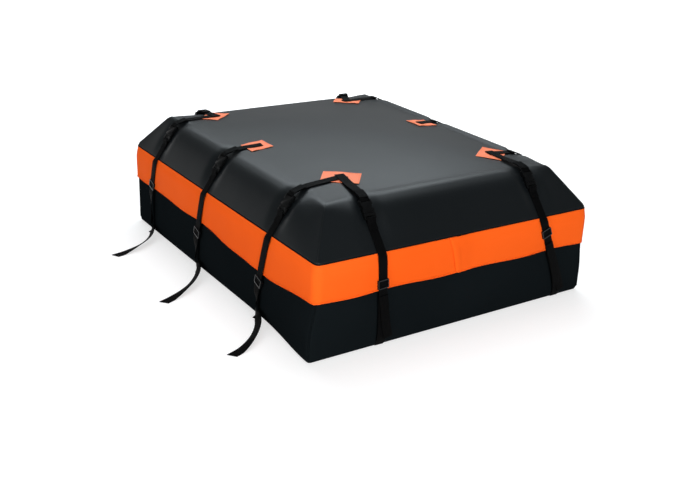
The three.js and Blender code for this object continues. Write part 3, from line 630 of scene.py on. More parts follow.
def pressed(point, on_side, reach=0.034):
    """1 under a strap that lies on this slope, falling to 0 away from it."""
    if on_side:
        wall, place = "left" if point.x < 0 else "right", point.y
    else:
        wall, place = "front" if point.y < 0 else "back", point.x
    return max(math.exp(-(((place - s.place) / reach) ** 4)) for s in straps.values() if s.wall == wall)


def lid_point(u, v):
    u = lid_shares[round(u * (len(lid_shares) - 1))]
    kind, t = lid_rows[round(v * (len(lid_rows) - 1))]
    wall, normal = wall_loop(u)
    if kind == "skirt":
        return Vector((wall.x, wall.y, SKIRT_FOOT + (HIP - SKIRT_FOOT) * t))
    inward, scale = (t, 1) if kind == "slope" else (SLOPE_ROWS_END, 1 - t)
    x = wall.x * (HALF_X - SIDE_SLOPE * inward) / HALF_X * scale
    y = wall.y * (HALF_Y - END_SLOPE * inward) / HALF_Y * scale
    point = Vector((x, y, lid_height(x, y)))
    if kind == "slope":
        side = abs(normal.x) > abs(normal.y)
        place = wall.y / HALF_Y if side else wall.x / HALF_X
        crease = ease((1 - abs(place)) / CREASE_SHARE)
        rounded = math.sin(math.pi * t / SLOPE_ROWS_END) * ease((SLOPE_ROWS_END - t) / CROWN_FADE)
        level = rounded * (1 - pressed(point, side)) * crease
        swell = (SIDE_SWELL if side else FRONT_SWELL if wall.y < 0 else BACK_SWELL) * level
        ripple = SLOPE_RIPPLE * blurred(point, RIPPLE_WIDE, 3.0) * level
        slope_out = (normal * (CROWN - HIP) + UP * (SIDE_SLOPE if side else END_SLOPE)).normalized()
        point += slope_out * (swell + ripple)
    else:
        wave = TOP_WAVE * blurred(point, TOP_WAVE_WIDE, 5.0)
        point.z += wave * (1 - held_down(point)) * ease(t / TOP_FADE)
    return point


lid = laid_grid("lid_shell", len(lid_shares) - 1, len(lid_rows) - 1, lid_point, (WALL_RUN, 0.7), closed=True)
add_modifier(lid, "SOLIDIFY", thickness=LID_SKIN, offset=-1.0)
dressed(lid, lid_cloth)
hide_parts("lid")
print("lid", len(lid.data.polygons), "faces")

# %% [markdown]
# The tub is the lower tray: a flat floor with soft edges and four walls up to the zipper. It is laid as the
# lid is, from the middle of its floor out and up, so that it is one closed skin with its thickness inwards.

# %% Tub
FLOOR_ROWS, EDGE_ROWS, WALL_ROWS = 8, 5, 18
TUB_SWELL, TUB_RIPPLE, TUB_CORNER_SHARE = 0.0022, 0.0016, 0.1
FLARE_OUT, FLARE_RIGHT, FLARE_FORWARD, FLARE_LONG = 0.024, 0.008, 0.012, 0.16
FLARE_TOP, FLARE_HIGH = 0.150, 0.09
tub_shares = loop_shares(WALL_STEP)
tub_rows = [("floor", i / FLOOR_ROWS) for i in range(FLOOR_ROWS)]
tub_rows += [("edge", i / EDGE_ROWS) for i in range(EDGE_ROWS + 1)]
tub_rows += [("wall", (i + 1) / WALL_ROWS) for i in range(WALL_ROWS)]


def tub_flare(point):
    """The tub's foot is kicked out at its front left corner, and a little at its front right one."""
    across = max(0.0, (HALF_X - point.x) / (2 * HALF_X))
    near = math.exp(-(((point.y + HALF_Y) / FLARE_LONG) ** 2)) * ease((FLARE_TOP - point.z) / FLARE_HIGH)
    outwards = FLARE_RIGHT * (1 - min(1.0, across)) ** 8 - FLARE_OUT * across ** 3
    return Vector((outwards, -FLARE_FORWARD * across, 0)) * near


def tub_point(u, v):
    u = tub_shares[round(u * (len(tub_shares) - 1))]
    kind, t = tub_rows[round(v * (len(tub_rows) - 1))]
    wall, normal = wall_loop(u)
    push = Vector()
    if kind == "floor":
        rim = wall - normal * FLOOR_EDGE
        point = Vector((rim.x * t, rim.y * t, 0.0))
    elif kind == "edge":
        turn = t * math.pi / 2
        rim = wall - normal * FLOOR_EDGE * (1 - math.sin(turn))
        point = Vector((rim.x, rim.y, FLOOR_EDGE * (1 - math.cos(turn))))
    else:
        height = FLOOR_EDGE + (TUB_RIM - FLOOR_EDGE) * t
        side = abs(normal.x) > abs(normal.y)
        place = wall.y / HALF_Y if side else wall.x / HALF_X
        free = ease((1 - abs(place)) / TUB_CORNER_SHARE)
        point = Vector((wall.x, wall.y, height))
        ripple = TUB_RIPPLE * blurred(point, RIPPLE_WIDE, 7.0) - TUB_RIPPLE / 2
        swell = TUB_SWELL * (1 - strap_near(u, height)) + ripple
        push = normal * swell * math.sin(math.pi * t) * free
    return point + push + tub_flare(point)


tub = laid_grid("tub_shell", len(tub_shares) - 1, len(tub_rows) - 1, tub_point, (WALL_RUN, 0.5), closed=True)
add_modifier(tub, "SOLIDIFY", thickness=TUB_SKIN, offset=-1.0)
dressed(tub, tub_cloth)
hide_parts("tub")
print("tub", len(tub.data.polygons), "faces")

# %% [markdown]
# Seams are finished with a welt: a narrow fold of the same cloth, sewn into the seam so that it stands out.
# A welt is a fin with a rounded rim, so a small circle is drawn out along the seam and flattened.

# %% Welts
WELT_SIDES, WELT_TIP = 8, 0.05
LID_WELT_STEPS, TUB_WELT_STEPS = 24, 20


def welt(name, spine, stands, proud, thick, material=tub_cloth):
    """A fin along a spine; stands holds its way out at each point, longer where it is prouder."""
    last = len(spine) - 1

    def place(u, v):
        i = round(v * last)
        at, out = spine[i], stands[i]
        ahead = spine[min(i + 1, last)] - spine[max(i - 1, 0)]
        flat = ahead.normalized().cross(out.normalized()).normalized()
        turn = u * 2 * math.pi
        end = 1.0 if 0 < i < last else WELT_TIP
        rise = proud * (0.5 + 0.5 * math.cos(turn)) * end
        return at + out * rise + flat * (thick / 2 * math.sin(turn) * end)

    fin = laid_grid(name, WELT_SIDES, last, place, (0.01, 1.0), closed=True)
    select_only(fin)
    bpy.ops.object.mode_set(mode="EDIT")
    bpy.ops.mesh.select_all(action="SELECT")
    bpy.ops.mesh.normals_make_consistent(inside=False)
    bpy.ops.object.mode_set(mode="OBJECT")
    return dressed(fin, material)


hip_spine, hip_stands = [], []
for share in loop_shares(WALL_STEP):
    wall, normal = wall_loop(share)
    hip_spine.append(Vector((wall.x, wall.y, HIP - 0.0014)) - normal * 0.0006)
    hip_stands.append((normal - UP * 0.45).normalized() * (1 - 0.85 * strap_near(share, HIP, 0.020)))
welt("hip_welt", hip_spine, hip_stands, 0.0030, 0.0020)

for sx, side in ((-1, "left"), (1, "right")):
    for sy, end in ((-1, "front"), (1, "back")):
        diagonal = Vector((sx, sy, 0)).normalized()
        pull = CORNER * (1 - math.sqrt(0.5))
        spine = []
        for i in range(LID_WELT_STEPS + 1):
            t = 0.02 + 1.08 * i / LID_WELT_STEPS
            x, y = sx * (HALF_X - SIDE_SLOPE * t), sy * (HALF_Y - END_SLOPE * t)
            spine.append(Vector((x, y, lid_height(x, y) - 0.001)) - diagonal * pull * math.sqrt(2) * 0.9)
        stands = [(diagonal + UP * 0.55).normalized()] * len(spine)
        welt(f"lid_welt_{side}_{end}", spine, stands, 0.0042, 0.0020, lid_cloth)
        rise = [0.002 + (TUB_RIM - 0.004) * i / TUB_WELT_STEPS for i in range(TUB_WELT_STEPS + 1)]
        corner = Vector((sx * (HALF_X - CORNER), sy * (HALF_Y - CORNER), 0)) + diagonal * (CORNER - 0.0012)
        spine = []
        for z in rise:
            tuck = diagonal * FLOOR_EDGE * 0.5 * max(0, 1 - z / FLOOR_EDGE)
            at = Vector((corner.x, corner.y, z)) - tuck
            spine.append(at + tub_flare(at))
        welt(f"tub_welt_{side}_{end}", spine, [diagonal] * len(spine), 0.0048, 0.0022)

# %% [markdown]
# The storm flap hangs from a seam under the hip and covers the zipper. It is a long strip with a waving hem
# that stands a little off the walls, and its two ends lap on the front wall. Straps press it flat, and it
# swells between them.

# %% Storm flap
FLAP_START = wall_share("front", SPLIT_X)
FLAP_LENGTH = WALL_RUN + FLAP_LAP
FLAP_COLUMNS, FLAP_ROWS = 520, 16
FLAP_STANDS = ((0.0, 0.0012), (0.30, 0.0056), (0.46, 0.0058), (1.0, 0.0046))
FLAP_HALF = 0.0011
SPLIT_LEAN, LEAN_FADE = 0.026, 0.09
HEM_WAVE, HEM_WAVE_LONG, LEFT_SAG = 0.0022, 0.26, 0.016
FLAP_SWELL, FLAP_FOLD, HEM_FLARE, CORNER_FADE = 0.0014, 0.0018, 0.0012, 0.06
FOLDS_ROUND, FOLDS_DOWN = 34, 1.2
LAP_STAND, LAP_FADE = 0.0024, 0.06
END_ROLL, ROLL_PLACE, ROLL_WIDE = 0.0026, 0.012, 0.008


def flap_stand(v):
    for (v0, s0), (v1, s1) in zip(FLAP_STANDS, FLAP_STANDS[1:]):
        if v <= v1:
            return s0 + (s1 - s0) * ease((v - v0) / (v1 - v0))
    return FLAP_STANDS[-1][1]


def flap_point(u, v):
    run = u * FLAP_LENGTH
    v = 1 - v
    from_end = min(run, FLAP_LENGTH - run)
    lean = SPLIT_LEAN * v * (1 - ease(from_end / LEAN_FADE))
    share = (FLAP_START + (run + lean) / WALL_RUN) % 1.0
    wall, normal = wall_loop(share)
    side = abs(normal.x) > abs(normal.y)
    along = wall.y if side else wall.x
    wave = HEM_WAVE * math.sin(2 * math.pi * along / HEM_WAVE_LONG)
    reach = max(0.0, 1 - abs(wall.y + HALF_Y / 2) / (HALF_Y / 2))
    sag = LEFT_SAG * math.sin(reach * math.pi / 2) if normal.x < -math.sqrt(0.5) else 0.0
    hem = FLAP_HEM + wave - sag
    corner = 1 - ease((HALF_X - abs(wall.x) + HALF_Y - abs(wall.y)) / CORNER_FADE)
    height = FLAP_TOP + (hem - FLAP_TOP) * v
    free = 1 - strap_near(share, height)
    swell = FLAP_SWELL * free * (1 - corner) * math.sin(math.pi * min(1.0, v * 1.1)) ** 0.7
    lap = LAP_STAND * (1 - ease((run - FLAP_LAP) / LAP_FADE))
    fold = FLAP_FOLD * blurred(Vector((share * FOLDS_ROUND, v * FOLDS_DOWN, 0)), 1.0, 11.0) * free * v
    fold += END_ROLL * math.exp(-(((run - ROLL_PLACE) / ROLL_WIDE) ** 2)) * math.sin(math.pi * v)
    flare = HEM_FLARE * v ** 3 * free
    stand = flap_stand(v) + FLAP_HALF + swell + lap + fold + flare
    return Vector((wall.x, wall.y, height)) + normal * stand


flap = laid_grid("storm_flap_band", FLAP_COLUMNS, FLAP_ROWS, flap_point, (FLAP_LENGTH, 0.095))
add_modifier(flap, "SOLIDIFY", thickness=FLAP_SKIN, offset=0.0)
dressed(flap, orange_cloth)
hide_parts("storm_flap")

# %% [markdown]
# The hem is turned up and sewn. The turned edge is a slim roll of the same orange cloth along the lower edge.

# %% Hem of the flap
HEM_ROLL = 0.0026
hem_spine, hem_stands = [], []
for i in range(FLAP_COLUMNS + 1):
    low = flap_point(i / FLAP_COLUMNS, 0.0)
    share = (FLAP_START + i / FLAP_COLUMNS * FLAP_LENGTH / WALL_RUN) % 1.0
    hem_spine.append(low + Vector((0, 0, 0.0012)))
    hem_stands.append(wall_loop(share)[1] * 0.25 - UP)
hem = welt("storm_flap_hem", hem_spine, hem_stands, HEM_ROLL, HEM_ROLL, material=orange_cloth)
print("hem", len(hem.data.polygons), "faces")

# %% [markdown]
# Under the flap runs the zipper. Its teeth stand on the tub's rim in one long row, and each one is a plain
# block, because there are over a thousand of them.

# %% Zipper teeth
TOOTH_PITCH, TOOTH_LONG, TOOTH_HIGH, TOOTH_OUT = 0.0034, 0.0022, 0.0052, 0.0014
row = bmesh.new()
tooth_count = int(WALL_RUN / TOOTH_PITCH)
for i in range(tooth_count):
    wall, normal = wall_loop((i + 0.5) / tooth_count)
    turn = axes_matrix(normal, UP.cross(normal), UP)
    place = Matrix.Translation(Vector((wall.x, wall.y, ZIP_LINE)) + normal * TOOTH_OUT / 2) @ turn
    shape = Matrix.Diagonal((TOOTH_OUT, TOOTH_LONG, TOOTH_HIGH, 1))
    bmesh.ops.create_cube(row, size=1.0, matrix=place @ shape)
dressed(filled_piece("zipper_teeth", row), black_plastic)
print("teeth", tooth_count)

# %% [markdown]
# A zip slider is a small grooved block that rides over the teeth with its pull hanging below. The solid has
# the right form, so it is kept, with its edges rounded on a copy and dark metal on it.

# %% Zip sliders
SHARP = 0.6
for side in ("left", "right"):
    copy = copy_of(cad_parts[f"zip_slider_{side}"], f"zip_pull_{side}")
    copy.parent = None
    weld(copy, 1e-6, flat=0.02)
    rounded_edges(copy, 0.0005, SHARP)
    dressed(copy, dark_metal, body=f"zipper_{side}")
    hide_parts(f"zip_slider_{side}")

# %% [markdown]
# Orange patches spread the pull of the straps over the lid. Each is a rectangle of cloth that follows the
# lid, with its raw edge turned under and a line of stitches just inside it.

# %% Patches and their stitches
PATCH_TURN = math.radians(39)
PATCH_SIZES = {"front": (0.098, 0.070), "back": (0.082, 0.060), "middle": (0.066, 0.066)}
PATCH_LIFT = GAP + 0.0007
RAW_EDGE, PATCH_RIPPLE, STITCH_INSET, STITCH_LIFT = 0.0006, 0.0005, 0.004, 0.0010
STITCH_PITCH, STITCH_LONG, STITCH_THICK = 0.0042, 0.0029, 0.0007
BORDER_STEPS = 12


def lid_normal(at):
    d = 0.004
    dx = (lid_height(at.x + d, at.y) - lid_height(at.x - d, at.y)) / (2 * d)
    dy = (lid_height(at.x, at.y + d) - lid_height(at.x, at.y - d)) / (2 * d)
    return Vector((-dx, -dy, 1)).normalized()


def stitch_line(name, route):
    """Short dashes of thread along a route of points on the lid."""
    run = running_lengths(route)
    dashes = bmesh.new()
    count = max(1, int(run[-1] / STITCH_PITCH))
    drawn_out = Matrix.Diagonal((STITCH_LONG / 2, STITCH_THICK / 2, STITCH_THICK / 2, 1))
    laid_down = Matrix.Rotation(math.pi / 2, 4, "Y")
    k = 0
    for i in range(count):
        goal = (i + 0.5) * run[-1] / count
        while run[k + 1] < goal:
            k += 1
        at = route[k].lerp(route[k + 1], (goal - run[k]) / (run[k + 1] - run[k]))
        ahead = (route[k + 1] - route[k]).normalized()
        side = lid_normal(at).cross(ahead).normalized()
        place = Matrix.Translation(at) @ axes_matrix(ahead, side, ahead.cross(side)) @ drawn_out @ laid_down
        bmesh.ops.create_uvsphere(dashes, u_segments=6, v_segments=4, radius=1.0, matrix=place)
    piece = filled_piece(name, dashes)
    piece.data.shade_smooth()
    dressed(piece, orange_thread)


for name, (px, py) in PATCH_PLACES.items():
    end = name.split("_")[1]
    long, short = PATCH_SIZES[end]
    turn = 0.0 if end == "middle" else -PATCH_TURN * math.copysign(1, px * py)

    def on_lid(du, dv, lift):
        x = px + du * math.cos(turn) - dv * math.sin(turn)
        y = py + du * math.sin(turn) + dv * math.cos(turn)
        return Vector((x, y, lid_height(x, y))) + lid_normal(Vector((x, y, 0))) * lift

    def patch_point(u, v):
        rim = min(u, 1 - u, v, 1 - v)
        lift = PATCH_LIFT + RAW_EDGE * (1 - ease(rim / 0.12)) + PATCH_RIPPLE * math.sin(9 * u + 4 * v)
        return on_lid((u - 0.5) * long, (v - 0.5) * short, lift)

    patch = laid_grid(f"sewn_patch_{name}", 28, 20, patch_point, (long, short))
    add_modifier(patch, "SOLIDIFY", thickness=PATCH_SKIN, offset=0.0)
    rounded_edges(patch, 0.0004)
    dressed(patch, patch_cloth)
    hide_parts(f"patch_{name}")
    a, b = long / 2 - STITCH_INSET, short / 2 - STITCH_INSET
    corners = [(-a, -b), (a, -b), (a, b), (-a, b), (-a, -b)]
    border = []
    for (x0, y0), (x1, y1) in zip(corners, corners[1:]):
        for i in range(BORDER_STEPS):
            du, dv = x0 + (x1 - x0) * i / BORDER_STEPS, y0 + (y1 - y0) * i / BORDER_STEPS
            border.append(on_lid(du, dv, PATCH_LIFT + STITCH_LIFT))
    border.append(border[0])
    stitch_line(f"patch_stitches_{name}", border)
print("patches", len(PATCH_PLACES))

# %% [markdown]
# From each patch the webbing arches over the crown and folds round the bar of a buckle. A corner patch has
# two arms that cross over it, and every arm comes back on itself at the buckle and ends in a square sewn end.

# %% Anchor straps
PATCH_THICK, SEWN_END, TAKE_OFF, LANDING = 0.0012, 0.014, 0.38, 0.26
SOCKET_LOW, SOCKET_THICK, BAR, BAR_LEVEL, SLOT = 0.0006, 0.009, 0.0035, 0.75, 0.004
BAR_TOP = SOCKET_LOW + SOCKET_THICK * BAR_LEVEL + 2 * GAP + WEB_THICK / 2
RETURN_LONG, RETURN_FROM, RETURN_LIFT = 0.040, 0.002, 0.0013
ARCH_STEPS = 8


def arm_route(strap, px, py, layer, sewn):
    """From behind the patch's middle, in one taut arc over the crown, to the buckle's upper bar."""
    over = strap.on_slope(-WEB_THICK, BAR_TOP)
    middle = Vector((px, py, 0))
    away = (Vector((over.x, over.y, 0)) - middle).normalized()
    lift = GAP + PATCH_THICK + WEB_LIFT + layer * (WEB_THICK + GAP)
    across = Vector((-away.y, away.x, 0))
    if across.dot(strap.along) < 0:
        across.negate()

    def on_patch(run):
        at = middle + away * run
        at.z = lid_height(at.x, at.y) + lift
        return at

    route = [(on_patch(run), lid_tilt(on_patch(run), across)) for run in (-SEWN_END, 0.0, sewn / 2)]
    start = on_patch(sewn)
    heading = (on_patch(sewn + 0.002) - on_patch(sewn - 0.002)).normalized()
    span = (over - start).length
    landing = (strap.down + away).normalized()
    bends = [start, start + heading * span * TAKE_OFF, over - landing * span * LANDING, over]
    for i in range(ARCH_STEPS):
        t = i / ARCH_STEPS
        weights = ((1 - t) ** 3, 3 * t * (1 - t) ** 2, 3 * t * t * (1 - t), t ** 3)
        at = sum((bend * weight for bend, weight in zip(bends, weights)), Vector())
        at.z = max(at.z, lid_height(at.x, at.y) + lift)
        route.append((at, lid_tilt(at, across).lerp(strap.along, ease(t))))
    route.append((over, strap.along))
    return route


for name, (px, py) in PATCH_PLACES.items():
    side, end = name.split("_")
    arms = [name] if end == "middle" else [name, f"{end}_{side}"]
    for layer, strap_name in enumerate(arms):
        strap = straps[strap_name]
        route = arm_route(strap, px, py, layer, PATCH_SIZES[end][1] / 2)
        hooked = route + [
            (strap.on_slope(BAR / 2, BAR_TOP), strap.along),
            (strap.on_slope(BAR, BAR_TOP - WEB_THICK * 0.3), strap.along),
            (strap.on_slope(BAR + SLOT * 0.6, BAR_TOP - WEB_THICK * 1.4), strap.along),
            (strap.on_slope(BAR + SLOT * 0.6, SOCKET_LOW + 0.001), strap.along),
        ]
        arm, _ = ribbon(f"anchor_web_{strap_name}", smooth_route(hooked, FINE_STEP))
        if layer == 0:
            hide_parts(f"anchor_strap_{name}")
        fine = smooth_route(route, FINE_STEP)[::-1]
        back, run = [], 0.0
        for (at, wide), (after, _) in zip(fine, fine[1:]):
            off = wide.cross((after - at).normalized())
            if off.z < 0:
                off.negate()
            if run > RETURN_FROM:
                lifted = RETURN_LIFT * ease((run - RETURN_LONG / 2) / (RETURN_LONG / 2))
                back.append((at + off * (WEB_THICK + GAP + lifted), wide))
            run += (after - at).length
            if run > RETURN_LONG:
                break
        ribbon(f"anchor_fold_{strap_name}", back)

# %% [markdown]
# The lower webbing starts under the buckle's plug, lies on the slope, bends over the hip and goes down
# outside the storm flap to the ground. On the front wall a second layer hangs below the slider and fans out
# to one side, as spare webbing does.

# %% Lower webbings
SOCKET_LONG, STRAP_BEND = 0.034, 0.008
FOOT_STAND, FOOT_TOP, FOOT_DRIFT = 0.005, 0.019, 0.8
TURN_DROP, TUCK_DROP, LOOSE_END = 0.015, 0.035, 0.046
SPARE_STEPS, SPARE_END, SPARE_FAN, SPARE_TUCK = 11, 0.020, 0.021, 0.005


def lower_route(strap):
    """Down the slope and the wall, to a loose tail on the left wall and in under the bag on the others."""
    start = strap.on_slope(SOCKET_LONG + BAR, WEB_LIFT)
    bend_in = strap.on_slope(strap.slope_run - STRAP_BEND, WEB_LIFT)
    bend_out = strap.knee + strap.fall * STRAP_BEND
    route = [(start, strap.along), (start.lerp(bend_in, 0.5), strap.along)]
    for i in range(5):
        t = i / 4
        at = bend_in * (1 - t) ** 2 + strap.knee * (2 * t * (1 - t)) + bend_out * t * t
        route.append((at, strap.along.lerp(strap.wide, t)))
    low = strap.on_drop(strap.slider - GLIDE_REACH)
    route += [(at, strap.wide) for at in (strap.on_drop(strap.slider + GLIDE_REACH / 2), low)]
    place = low.dot(strap.along)
    if strap.wall == "left":
        route.append((strap.on_wall(place, WEB_OUT, low.z - TURN_DROP), turned(strap, 0.4)))
        route.append((strap.on_wall(place, WEB_OUT, LOOSE_END), turned(strap, 1.0)))
        return route
    foot = place + strap.fall.dot(strap.along) * low.z * FOOT_DRIFT
    route.append((strap.on_drop(low.z - 0.003), strap.wide))
    if strap.wall != "front":
        route.append((strap.on_wall(foot, FOOT_STAND, low.z - TUCK_DROP), strap.along))
    stands = ((FOOT_STAND, FOOT_TOP), (WEB_LIFT, FLOOR_EDGE), (WEB_LIFT - 0.0016, 0.0032), (-0.002, 0.001))
    route += [(strap.on_wall(foot, stand, height), strap.along) for stand, height in stands]
    return [(at + tub_flare(at), wide) for at, wide in route]


for name, strap in straps.items():
    strip, _ = ribbon(f"lower_web_{name}", smooth_route(lower_route(strap)))
    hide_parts(f"webbing_{name}")
    if strap.wall != "front":
        continue
    second = []
    base = strap.on_drop(strap.slider - GLIDE_REACH)
    for i in range(SPARE_STEPS + 1):
        share = i / SPARE_STEPS
        height = base.z + (SPARE_END - base.z) * share
        drift = strap.fall.dot(strap.along) * (base.z - height) * FOOT_DRIFT
        at = strap.on_wall(base.dot(strap.along) + drift, WEB_OUT, height)
        at -= strap.out * SPARE_TUCK * ease(1 - height / base.z)
        fan = strap.along * SPARE_FAN * share
        at = at + tub_flare(at) + fan + strap.out * (WEB_THICK + GAP + 0.001 * share)
        second.append((at, strap.wide.lerp(strap.along, min(1, share * 2))))
    ribbon(f"spare_web_{name}", smooth_route(second))

# %% [markdown]
# A side release buckle has a hollow socket and a plug with two sprung prongs and a guide tongue. The socket
# is a block with rounded corners, cut by a slot for the webbing, a mouth for the plug and a window on each
# side through which the prongs are pressed. One is modelled at the origin and copied to all ten straps.

# %% Rounded block and cutter
def box(low, high, name="cutter"):
    clear_selection()
    size = [h - l for l, h in zip(low, high)]
    bpy.ops.mesh.primitive_cube_add(size=1, location=[(l + h) / 2 for l, h in zip(low, high)], scale=size)
    bpy.ops.object.transform_apply(location=True, rotation=True, scale=True)
    piece = bpy.context.object
    piece.name = piece.data.name = name
    return piece


def rounded_block(size, radius, name):
    """A block from x = 0 and z = 0 up, with y = 0 in its middle and its four upright edges rounded."""
    long, wide, high = size
    piece = box((0, -wide / 2, 0), (long, wide / 2, high), name)
    bpy.ops.object.mode_set(mode="EDIT")
    bpy.ops.mesh.select_mode(type="EDGE")
    bpy.ops.mesh.select_all(action="DESELECT")
    bpy.ops.object.mode_set(mode="OBJECT")
    for edge in piece.data.edges:
        a, b = (piece.data.vertices[i].co for i in edge.vertices)
        edge.select = abs(a.z - b.z) > 1e-6 and abs(a.x - b.x) < 1e-6 and abs(a.y - b.y) < 1e-6
    bpy.ops.object.mode_set(mode="EDIT")
    bpy.ops.mesh.bevel(offset=radius, segments=5)
    bpy.ops.object.mode_set(mode="OBJECT")
    return piece


def cut(piece, cutters, operation="DIFFERENCE"):
    for cutter in cutters:
        add_modifier(piece, "BOOLEAN", operation=operation, object=cutter, solver="EXACT")
        bpy.data.objects.remove(cutter)


def finished_edges(piece, width=0.0005):
    rounded_edges(piece, width, SHARP)
    select_only(piece)
    bpy.ops.object.shade_smooth_by_angle(angle=SHARP)


# %% Buckle and slider models
RIM, PAST = 0.0036, 0.001
SOCKET_WIDE, SLOT_WIDE = 0.0322, 0.0256
SOCKET_WALL, SOCKET_DEEP = 0.0019, 0.021
CAVITY_WIDE, CAVITY_HIGH = SOCKET_WIDE - 2 * SOCKET_WALL, SOCKET_THICK - 2 * SOCKET_WALL
WINDOW_LONG, WINDOW_BACK = 0.010, 0.008
PLUG_LONG, PLUG_THICK, PRONG_LONG, PRONG_WIDE = 0.017, 0.0064, 0.019, 0.0036
TONGUE_WIDE, TONGUE_SHORT = 0.006, 0.004
PRONG_LOW, PRONG_HIGH, PRONG_ROOT = 0.0009, 0.0055, 0.001
NOTCH_IN, NOTCH_SHORT = 0.0012, 0.001
GRIP_DEEP, GRIP_WIDE, GRIP_HALF, GRIPS = 0.0007, 0.0012, 0.010, (0.0022, 0.0046)
half_slot, half_cavity, roof = SLOT_WIDE / 2, CAVITY_WIDE / 2, SOCKET_WALL + CAVITY_HIGH
window_end = SOCKET_LONG - WINDOW_BACK
notch_low, notch_high = window_end - WINDOW_LONG + NOTCH_SHORT, window_end - NOTCH_SHORT

socket = rounded_block((SOCKET_LONG, SOCKET_WIDE, SOCKET_THICK), RIM, "socket_model")
cut(socket, [
    box((BAR, -half_slot, -PAST), (BAR + SLOT, half_slot, SOCKET_THICK + PAST)),
    box((-PAST, -SOCKET_WIDE, SOCKET_THICK * BAR_LEVEL), (BAR, SOCKET_WIDE, SOCKET_THICK + PAST)),
    box((SOCKET_LONG - SOCKET_DEEP, -half_cavity, SOCKET_WALL), (SOCKET_LONG + PAST, half_cavity, roof)),
    box((window_end - WINDOW_LONG, -SOCKET_WIDE, SOCKET_WALL), (window_end, SOCKET_WIDE, roof)),
    box((notch_low, half_cavity - NOTCH_IN, -PAST), (notch_high, SOCKET_WIDE, SOCKET_THICK + PAST)),
    box((notch_low, -SOCKET_WIDE, -PAST), (notch_high, NOTCH_IN - half_cavity, SOCKET_THICK + PAST)),
])
finished_edges(socket)

tongue_tip = TONGUE_SHORT - PRONG_LONG
plug_parts = [box((tongue_tip, -TONGUE_WIDE / 2, PRONG_LOW), (PRONG_ROOT, TONGUE_WIDE / 2, PRONG_HIGH))]
for s in (-1, 1):
    a, b = sorted((s * (half_cavity - GAP), s * (half_cavity - GAP - PRONG_WIDE)))
    plug_parts.append(box((-PRONG_LONG, a, PRONG_LOW), (PRONG_ROOT, b, PRONG_HIGH)))
plug = rounded_block((PLUG_LONG, SOCKET_WIDE, PLUG_THICK), RIM, "plug_model")
cut(plug, plug_parts, "UNION")
slot_end = PLUG_LONG - BAR
cut(plug, [box((slot_end - SLOT, -half_slot, -PAST), (slot_end, half_slot, PLUG_THICK + PAST))] + [
    box((x, -GRIP_HALF, PLUG_THICK - GRIP_DEEP), (x + GRIP_WIDE, GRIP_HALF, PLUG_THICK + PAST)) for x in GRIPS
])
finished_edges(plug)

GLIDE_LONG, RAIL, GLIDE_BAR, PLATE = 0.024, 0.0028, 0.003, 0.0016
GLIDE_WIDE, GLIDE_HIGH = SLOT_WIDE + 2 * RAIL, 2 * PLATE + WEB_THICK + 2 * GAP
web_high = PLATE + WEB_THICK + 2 * GAP
bar_low, bar_high = GLIDE_LONG / 2 - GLIDE_BAR / 2, GLIDE_LONG / 2 + GLIDE_BAR / 2
glide = rounded_block((GLIDE_LONG, GLIDE_WIDE, GLIDE_HIGH), RAIL * 0.9, "glide_model")
cut(glide, [
    box((-PAST, -half_slot, PLATE), (GLIDE_LONG + PAST, half_slot, web_high)),
    box((-PAST, -half_slot, -PAST), (bar_low, half_slot, PLATE + PAST)),
    box((bar_high, -half_slot, -PAST), (GLIDE_LONG + PAST, half_slot, PLATE + PAST)),
    box((GLIDE_BAR, -half_slot, web_high - PAST), (GLIDE_LONG - GLIDE_BAR, half_slot, GLIDE_HIGH + PAST)),
])
finished_edges(glide, 0.0004)
print("faces", {model.name: len(model.data.polygons) for model in (socket, plug, glide)})


# %% Place the hardware on every strap
def placed_copy(model, name, at, down, off):
    piece = copy_of(model, name)
    piece.data.transform(Matrix.Translation(at) @ axes_matrix(down, off.cross(down), off))
    piece.matrix_world = Matrix()
    return piece


PLUG_LOW = max(2 * GAP + WEB_THICK, SOCKET_LOW + (SOCKET_THICK - PLUG_THICK) / 2)
FOLD_ROUTE = (  # run from the plug's bar and lift from its underside: up through the slot, over and back
    (-SLOT / 2, 0.0030), (-SLOT / 2, PLUG_THICK * 0.7), (-0.0004, PLUG_THICK + 0.0008),
    (BAR / 2, PLUG_THICK + 0.0011), (BAR + 0.0012, PLUG_THICK - 0.0002), (BAR + 0.006, 0.0035),
    (BAR + 0.011, 0.0013), (BAR + 0.026, 0.0012),
)
for name, strap in straps.items():
    part = placed_copy(socket, f"socket_{name}", strap.on_slope(0, SOCKET_LOW), strap.down, strap.off)
    dressed(part, black_plastic)
    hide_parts(f"buckle_socket_{name}")
    at = strap.on_slope(SOCKET_LONG + GAP, PLUG_LOW)
    part = placed_copy(plug, f"plug_{name}", at, strap.down, strap.off)
    dressed(part, black_plastic, body=f"plug_{name}")
    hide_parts(f"buckle_plug_{name}")
    top = strap.on_drop(strap.slider) - strap.fall * GLIDE_LONG / 2 - strap.out * (WEB_LIFT + PLATE)
    part = placed_copy(glide, f"glide_{name}", top, strap.fall, strap.out)
    dressed(part, slider_edge, body=f"slider_{name}")
    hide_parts(f"strap_slider_{name}")
    bar_run = SOCKET_LONG + GAP + slot_end
    fold = [(strap.on_slope(bar_run + run, PLUG_LOW + lift), strap.along) for run, lift in FOLD_ROUTE]
    ribbon(f"plug_fold_{name}", smooth_route(fold, FOLD_STEP), body=f"plug_{name}")
for model in (socket, plug, glide):
    bpy.data.objects.remove(model)
print("hardware placed on", len(straps), "straps")

# %% [markdown]
# The studio is plain: a soft light before each wall that shows, so that its colour renders about as it is
# written, and two broad cool ones high over and behind the bag, whose reflection greys the coated top.

# %% Lights
WHITE, COOL = (1.0, 1.0, 1.0), (0.86, 0.95, 1.0)


